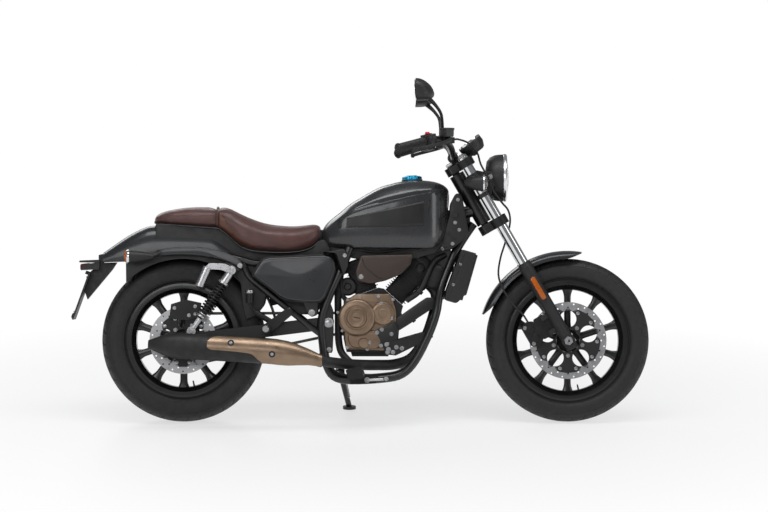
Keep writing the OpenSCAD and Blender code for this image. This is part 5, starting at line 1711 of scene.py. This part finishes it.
def silencer():
    can = Shape()
    drop = math.atan(23 / 400)
    d = Vector((math.cos(drop), 0, -math.sin(drop)))
    tail = Vector((-119, SILENCER_Y, 283))
    can.turn([(9, 96), (9, 6), (10, 1), (12, 0), (14, 1), (16, 5), (23, 22), (32, 44), (39, 64), (44, 86),
              (45.6, 100), (SILENCER_R, 112), (SILENCER_R, 400.5)], tail, d, 72)
    rows = []
    for x, _ in smooth([(x, 0) for x in (281, 300, 340, 360, 380, 395, 410, 430, 450, 468, 486)], 3):
        r, z = silencer_r(x), silencer_z(x)
        rows.append([(x, SILENCER_Y + r * math.cos(a), z + r * math.sin(a)) for a in around(72)])
    can.loft(rows, ends=False)
    make(can, "silencer_can", "chassis", [HEAT], ["silencer"], bevel=0.3)


def heat_shield():
    # x, lower and upper edge in degrees round the silencer
    edges = [(92, 2, 22), (97, -3, 36), (106, -7, 48), (122, -8, 60), (148, -8, 66), (240, -14, 66),
             (262, -30, 66),
             (271, -42, 66), (281, -55, 66), (290, -66, 66), (340, -72, 66), (380, -74, 68), (410, -74, 70),
             (450, -74, 72), (480, -72, 72), (500, -60, 60)]
    skin = Shape()
    rows = []
    for x, a0, a1 in smooth(edges, 3):
        row = []
        for k in range(27):
            t = k / 26
            a = math.radians(a0 + (a1 - a0) * t)
            r = silencer_r(x) + SHIELD_GAP - 2.4 * max(0, 1 - min(t, 1 - t) / 0.045)
            row.append((x, SILENCER_Y - r * math.cos(a), silencer_z(x) + r * math.sin(a)))
        rows.append(row)
    skin.loft(rows, ends=False, closed=False)
    make(skin, "heat_shield_skin", "chassis", [BRONZE_LIGHT], ["heat_shield"], thick=2.6, bevel=0.5)
    fixings = Shape()
    for x, z in ((177, 288), (323, 248)):
        a = math.asin((z - silencer_z(x)) / (silencer_r(x) + 4))
        n = Vector((0, -math.cos(a), math.sin(a)))
        p = Vector((x, SILENCER_Y, silencer_z(x))) + n * (silencer_r(x) + 3.4)
        fixings.look = 1
        fixings.turn([(6, 0), (11, 0), (12, 1.2), (11, 2.4), (6, 2.4)], p, n, 36, closed=True)
        fixings.look = 0
        fixings.bolt(p + n * 0.6, 5, n, 4, socket=True)
    make(fixings, "heat_shield_fixings", "chassis", [BOLT, HEAT], bevel=0.2)


# ---- tail and rear suspension ----
def seat_base(x):
    return 703 - (x + 50) * 13 / 172


def rear_mudguard():
    # x, bottom, top, share of the half width
    rings = [(-288, 573, 608, 0.8), (-262, 574, 626, 0.86), (-225, 575, 652, 0.94), (-190, 576, 674, 0.98),
             (-150, 580, 694, 1), (-112, 586, 705, 1), (-50, 597, seat_base(-50) - 0.7, 1),
             (10, 604, seat_base(10) - 0.7, 1), (70, 606, seat_base(70) - 0.7, 1),
             (110, 600, seat_base(110) - 2.7, 1), (150, 592, 654, 0.98), (196, 586, 610, 0.95)]
    shape = Shape()
    rows = []
    for x, z0, z1, share in smooth(rings, 4):
        w = 91.6 * share
        rows.append([(x, w * power(math.cos(a), 0.55), z0 + (z1 - z0) * power(math.sin(a), 0.6))
                     for a in (math.pi * k / 40 for k in range(41))])
    shape.loft(rows, ends=False, closed=False)
    make(shape, "rear_mudguard_skin", "chassis", [PANEL], ["rear_mudguard"], thick=3.4,
         bevel=0.8)


def tail_lamp():
    refine("tail_bracket", DARK, 1.6)
    lamp = Shape()
    plan = rounded([(-61, -14), (61, -14), (61, 14), (-61, 14)], 7)
    lamp.loft([[(x, p[0], 560 + p[1] + (x + 340) * 0.12) for p in inset(plan, d)]
               for d, x in ((3, -338), (3, -366), (5, -369), (9, -370))])
    make(lamp, "tail_lamp_lens", "chassis", [RED], bevel=0.4)
    hood = Shape()
    dome_plan = rounded([(-300, 583), (-372, 580), (-374, 573), (-300, 572)], 3)
    hood.loft([[(x, y, z) for x, z in dome_plan] for y in (-66, 66)])
    make(hood, "tail_lamp_hood", "chassis", [DARK], bevel=1.5)


def plate_pieces():
    plate_place = placed((-360, 0, 470), 20)
    extra = Shape(plate_place)
    extra.brick((-6, 0, -96), (6, 60, 18))
    extra.look = 1
    extra.brick((-9.6, 0, -96), (1.6, 54, 13))
    extra.look = 0
    extra.brick((-9, 0, 66), (16, 34, 12))
    make(extra, "plate_lamp_and_reflector", "chassis", [DARK, RED], bevel=0.8)
    screws = Shape(plate_place)
    for y in (-50, 50):
        for z in (52, -80):
            screws.bolt((-3, y, z), 3.5, (-1, 0, 0), 4, socket=True)
    make(screws, "plate_screws", "chassis", [BOLT], bevel=0.3)


def rear_indicators():
    lights = Shape()
    for s in (-1, 1):
        c = (-104, s * 146, 594)
        lights.look = 0
        lights.turn([(0, -3), (8, -2), (12, 10), (19, 45), (22.5, 72), (23.4, 84), (22, 86)], c, (-1, 0, 0),
                    40)
        lights.look = 1
        lights.turn([(22, 84), (24.4, 85), (24.8, 91), (23, 94), (21.6, 92)], c, (-1, 0, 0), 40, closed=True)
        lights.look = 2
        lights.turn([(22.6, 88), (22, 96), (17, 101), (9, 103.4), (0, 104)], c, (-1, 0, 0), 40)
        lights.look = 0
        lights.rod((-82, s * 116.5, 606), (-82, s * 131, 606), 9)
        lights.tube([(-82, s * 126, 606), (-94, s * 136, 602), (-112, s * 144, 595)], 7.5, 16, 4)
    make(lights, "rear_indicator_lights", "chassis", [DARK, CHROME, AMBER],
         ["rear_indicators"],
         bevel=0.3)


SHOCK_Y = 138
SHOCK_LOW = Vector((32, 0, 328))
SHOCK_HIGH = Vector((176, 0, 545))
COIL_TURNS = 10.5
COIL_STEPS = 10


def shock(parts, s):
    """One damper with its spring, its reservoir and the bridge that carries it, on side s."""
    d = (SHOCK_HIGH - SHOCK_LOW).normalized()
    a = SHOCK_LOW + Vector((0, s * SHOCK_Y, 0))
    b = SHOCK_HIGH + Vector((0, s * SHOCK_Y, 0))
    parts.look = 0
    for p in (a, b):
        parts.turn([(8, -13), (15, -13), (16.5, -11), (16.5, 11), (15, 13), (8, 13)], p, (0, 1, 0), 36,
                   closed=True)
    parts.rod(a + d * 12, a + d * 56, 8.5, edge=2)
    parts.brick(a + d * 34, (17, 16, 40), math.degrees(math.atan2(d.x, d.z)))
    parts.look = 1
    parts.rod(a + d * 52, a + d * 214, 7.5)
    parts.look = 0
    for t0, t1, r in ((60, 68, 22.5), (72, 77, 20.5), (203, 212, 22.5)):
        parts.rod(a + d * t0, a + d * t1, r, edge=1.5, steps=32)
    parts.rod(a + d * 210, b - d * 12, 17.5, 16, edge=2, steps=32)
    parts.look = 1
    side = Vector((0, 1, 0))
    fore = d.cross(side)
    coil, last = [], COIL_TURNS * COIL_STEPS
    for k in range(int(last) + 1):
        t = 2 * math.pi * k / COIL_STEPS
        coil.append(a + d * (80 + 121 * k / last) + 17.5 * (math.cos(t) * side + math.sin(t) * fore))
    parts.tube(coil, 3.6, 8, 2)
    parts.look = 0
    low, high = Vector((60, s * SHOCK_Y, 487)), Vector((90, s * SHOCK_Y, 557))
    parts.rod(low, high, 17.4, edge=2.5, steps=36)
    u = (high - low).normalized()
    for t in (8, 66):
        parts.turn([(17, -2), (18.2, -1.5), (18.2, 1.5), (17, 2)], low + u * t, u, 36, closed=True)
    outline = rounded([(78, 549), (95, 571), (150, 569), (180, 556), (170, 534), (140, 547)], 8)
    dome(parts, outline, s * SHOCK_Y - 9, s * SHOCK_Y + 9, 3)


def shocks():
    parts, pins = Shape(), Shape()
    for s in (-1, 1):
        shock(parts, s)
        for (x, _, z), inner, r in ((SHOCK_LOW, 95.3, 7), (SHOCK_HIGH, 109.3, 8)):
            pins.rod((x, s * inner, z), (x, s * 126, z), r)
            pins.bolt((x, s * 151, z), 8, (0, s, 0), 6, socket=True)
    make(parts, "shock_bodies", "chassis", [SILVER, ENGINE], ["rear_shocks"], bevel=0.5)
    make(pins, "shock_pins", "chassis", [BOLT], bevel=0.4)


PEG_AXIS = (300, 0, 337)


def rear_end():
    for node, look, bevel in (("swingarm", FRAME, 2.0), ("inner_mudguard", DARK, 1.4),
                              ("rear_brake", ENGINE, 1.4),
                              ("footpegs", ENGINE, 1.2), ("foot_levers", SILVER, 1.0),
                              ("side_stand", FRAME, 1.0)):
        refine(node, look, bevel)
    spots = both(8, 94, 294, 5, True) + both(278, 94, 330, 4, True)
    spots += [((x, -100.5, z), 4.5, RIGHT, True) for x, z in ((-30, 410), (44, 416), (22, 384))]
    spots += [((x, -100, z), 4, RIGHT, True) for x, z in ((28, 326), (32, 348), (44, 388))]
    bolts("brake_and_arm_bolts", spots)


def peg_rubbers():
    """Ribbed rubbers on the rider's pegs, the passenger's pegs and the levers' ends."""
    rubbers = Shape()
    for s in (-1, 1):
        rubbers.place = placed((617, s * 205, 177), -7)
        for y in range(-50, 60, 10):
            rubbers.brick((0, y, 15.5), (52, 6, 6))
            rubbers.brick((0, y, -15.5), (46, 6, 5))
        rubbers.place = Matrix.Identity(4)
        x, _, z = PEG_AXIS
        rubbers.rod((x, s * 150, z), (x, s * 232, z), 14.5, edge=2, steps=28)
        for i in range(9):
            rubbers.turn([(14, -2.4), (16, -1.6), (16, 1.6), (14, 2.4)], (x, s * (156 + 9 * i), z),
                         (0, 1, 0), 28,
                         closed=True)
        rubbers.rod((728, s * 172, 158.4), (728, s * 216, 160), 10.5, edge=2, steps=24)
    make(rubbers, "peg_rubbers", "chassis", [RUBBER], bevel=0.6)
    ends = Shape()
    for s in (-1, 1):
        ends.turn([(0, 232), (11, 232), (12, 233.5), (11, 235), (0, 235)], PEG_AXIS, (0, s, 0), 32)
        ends.bolt((622, s * 156, 166), 6, (0, s, 0), 5)
        ends.bolt((382, s * 139.5, 402), 6, (0, s, 0), 5, socket=True)
    ends.turn([(0, 0), (14.5, 0), (15.5, 2), (15.5, 9), (14.5, 11), (0, 11)], (240, -126, 463), (0, 0, 1), 36)
    make(ends, "peg_and_reservoir_caps", "chassis", [BOLT], bevel=0.3)


def stand_spring():
    a, b = Vector((572, 170, 168)), Vector((590, 214, 82))
    side = (b - a).orthogonal().normalized()
    fore = (b - a).normalized().cross(side)
    coil = [a.lerp(b, k / 160) + 6 * (math.cos(k * math.pi / 5) * side + math.sin(k * math.pi / 5) * fore)
            for k in range(161)]
    make(Shape().tube(coil, 1.5, 6, 1), "stand_spring", "side_stand", [BOLT])


refine("crankcase", ENGINE, 2.0)
cylinder("front_cylinder", 42, 8, 100)
cylinder("rear_cylinder", -20, -8, 38)
intake_box()
engine_covers()
engine_bolts()
engine_guard()
radiator()
header_pipes()
silencer()
heat_shield()
rear_mudguard()
tail_lamp()
plate_pieces()
rear_indicators()
shocks()
rear_end()
peg_rubbers()
stand_spring()
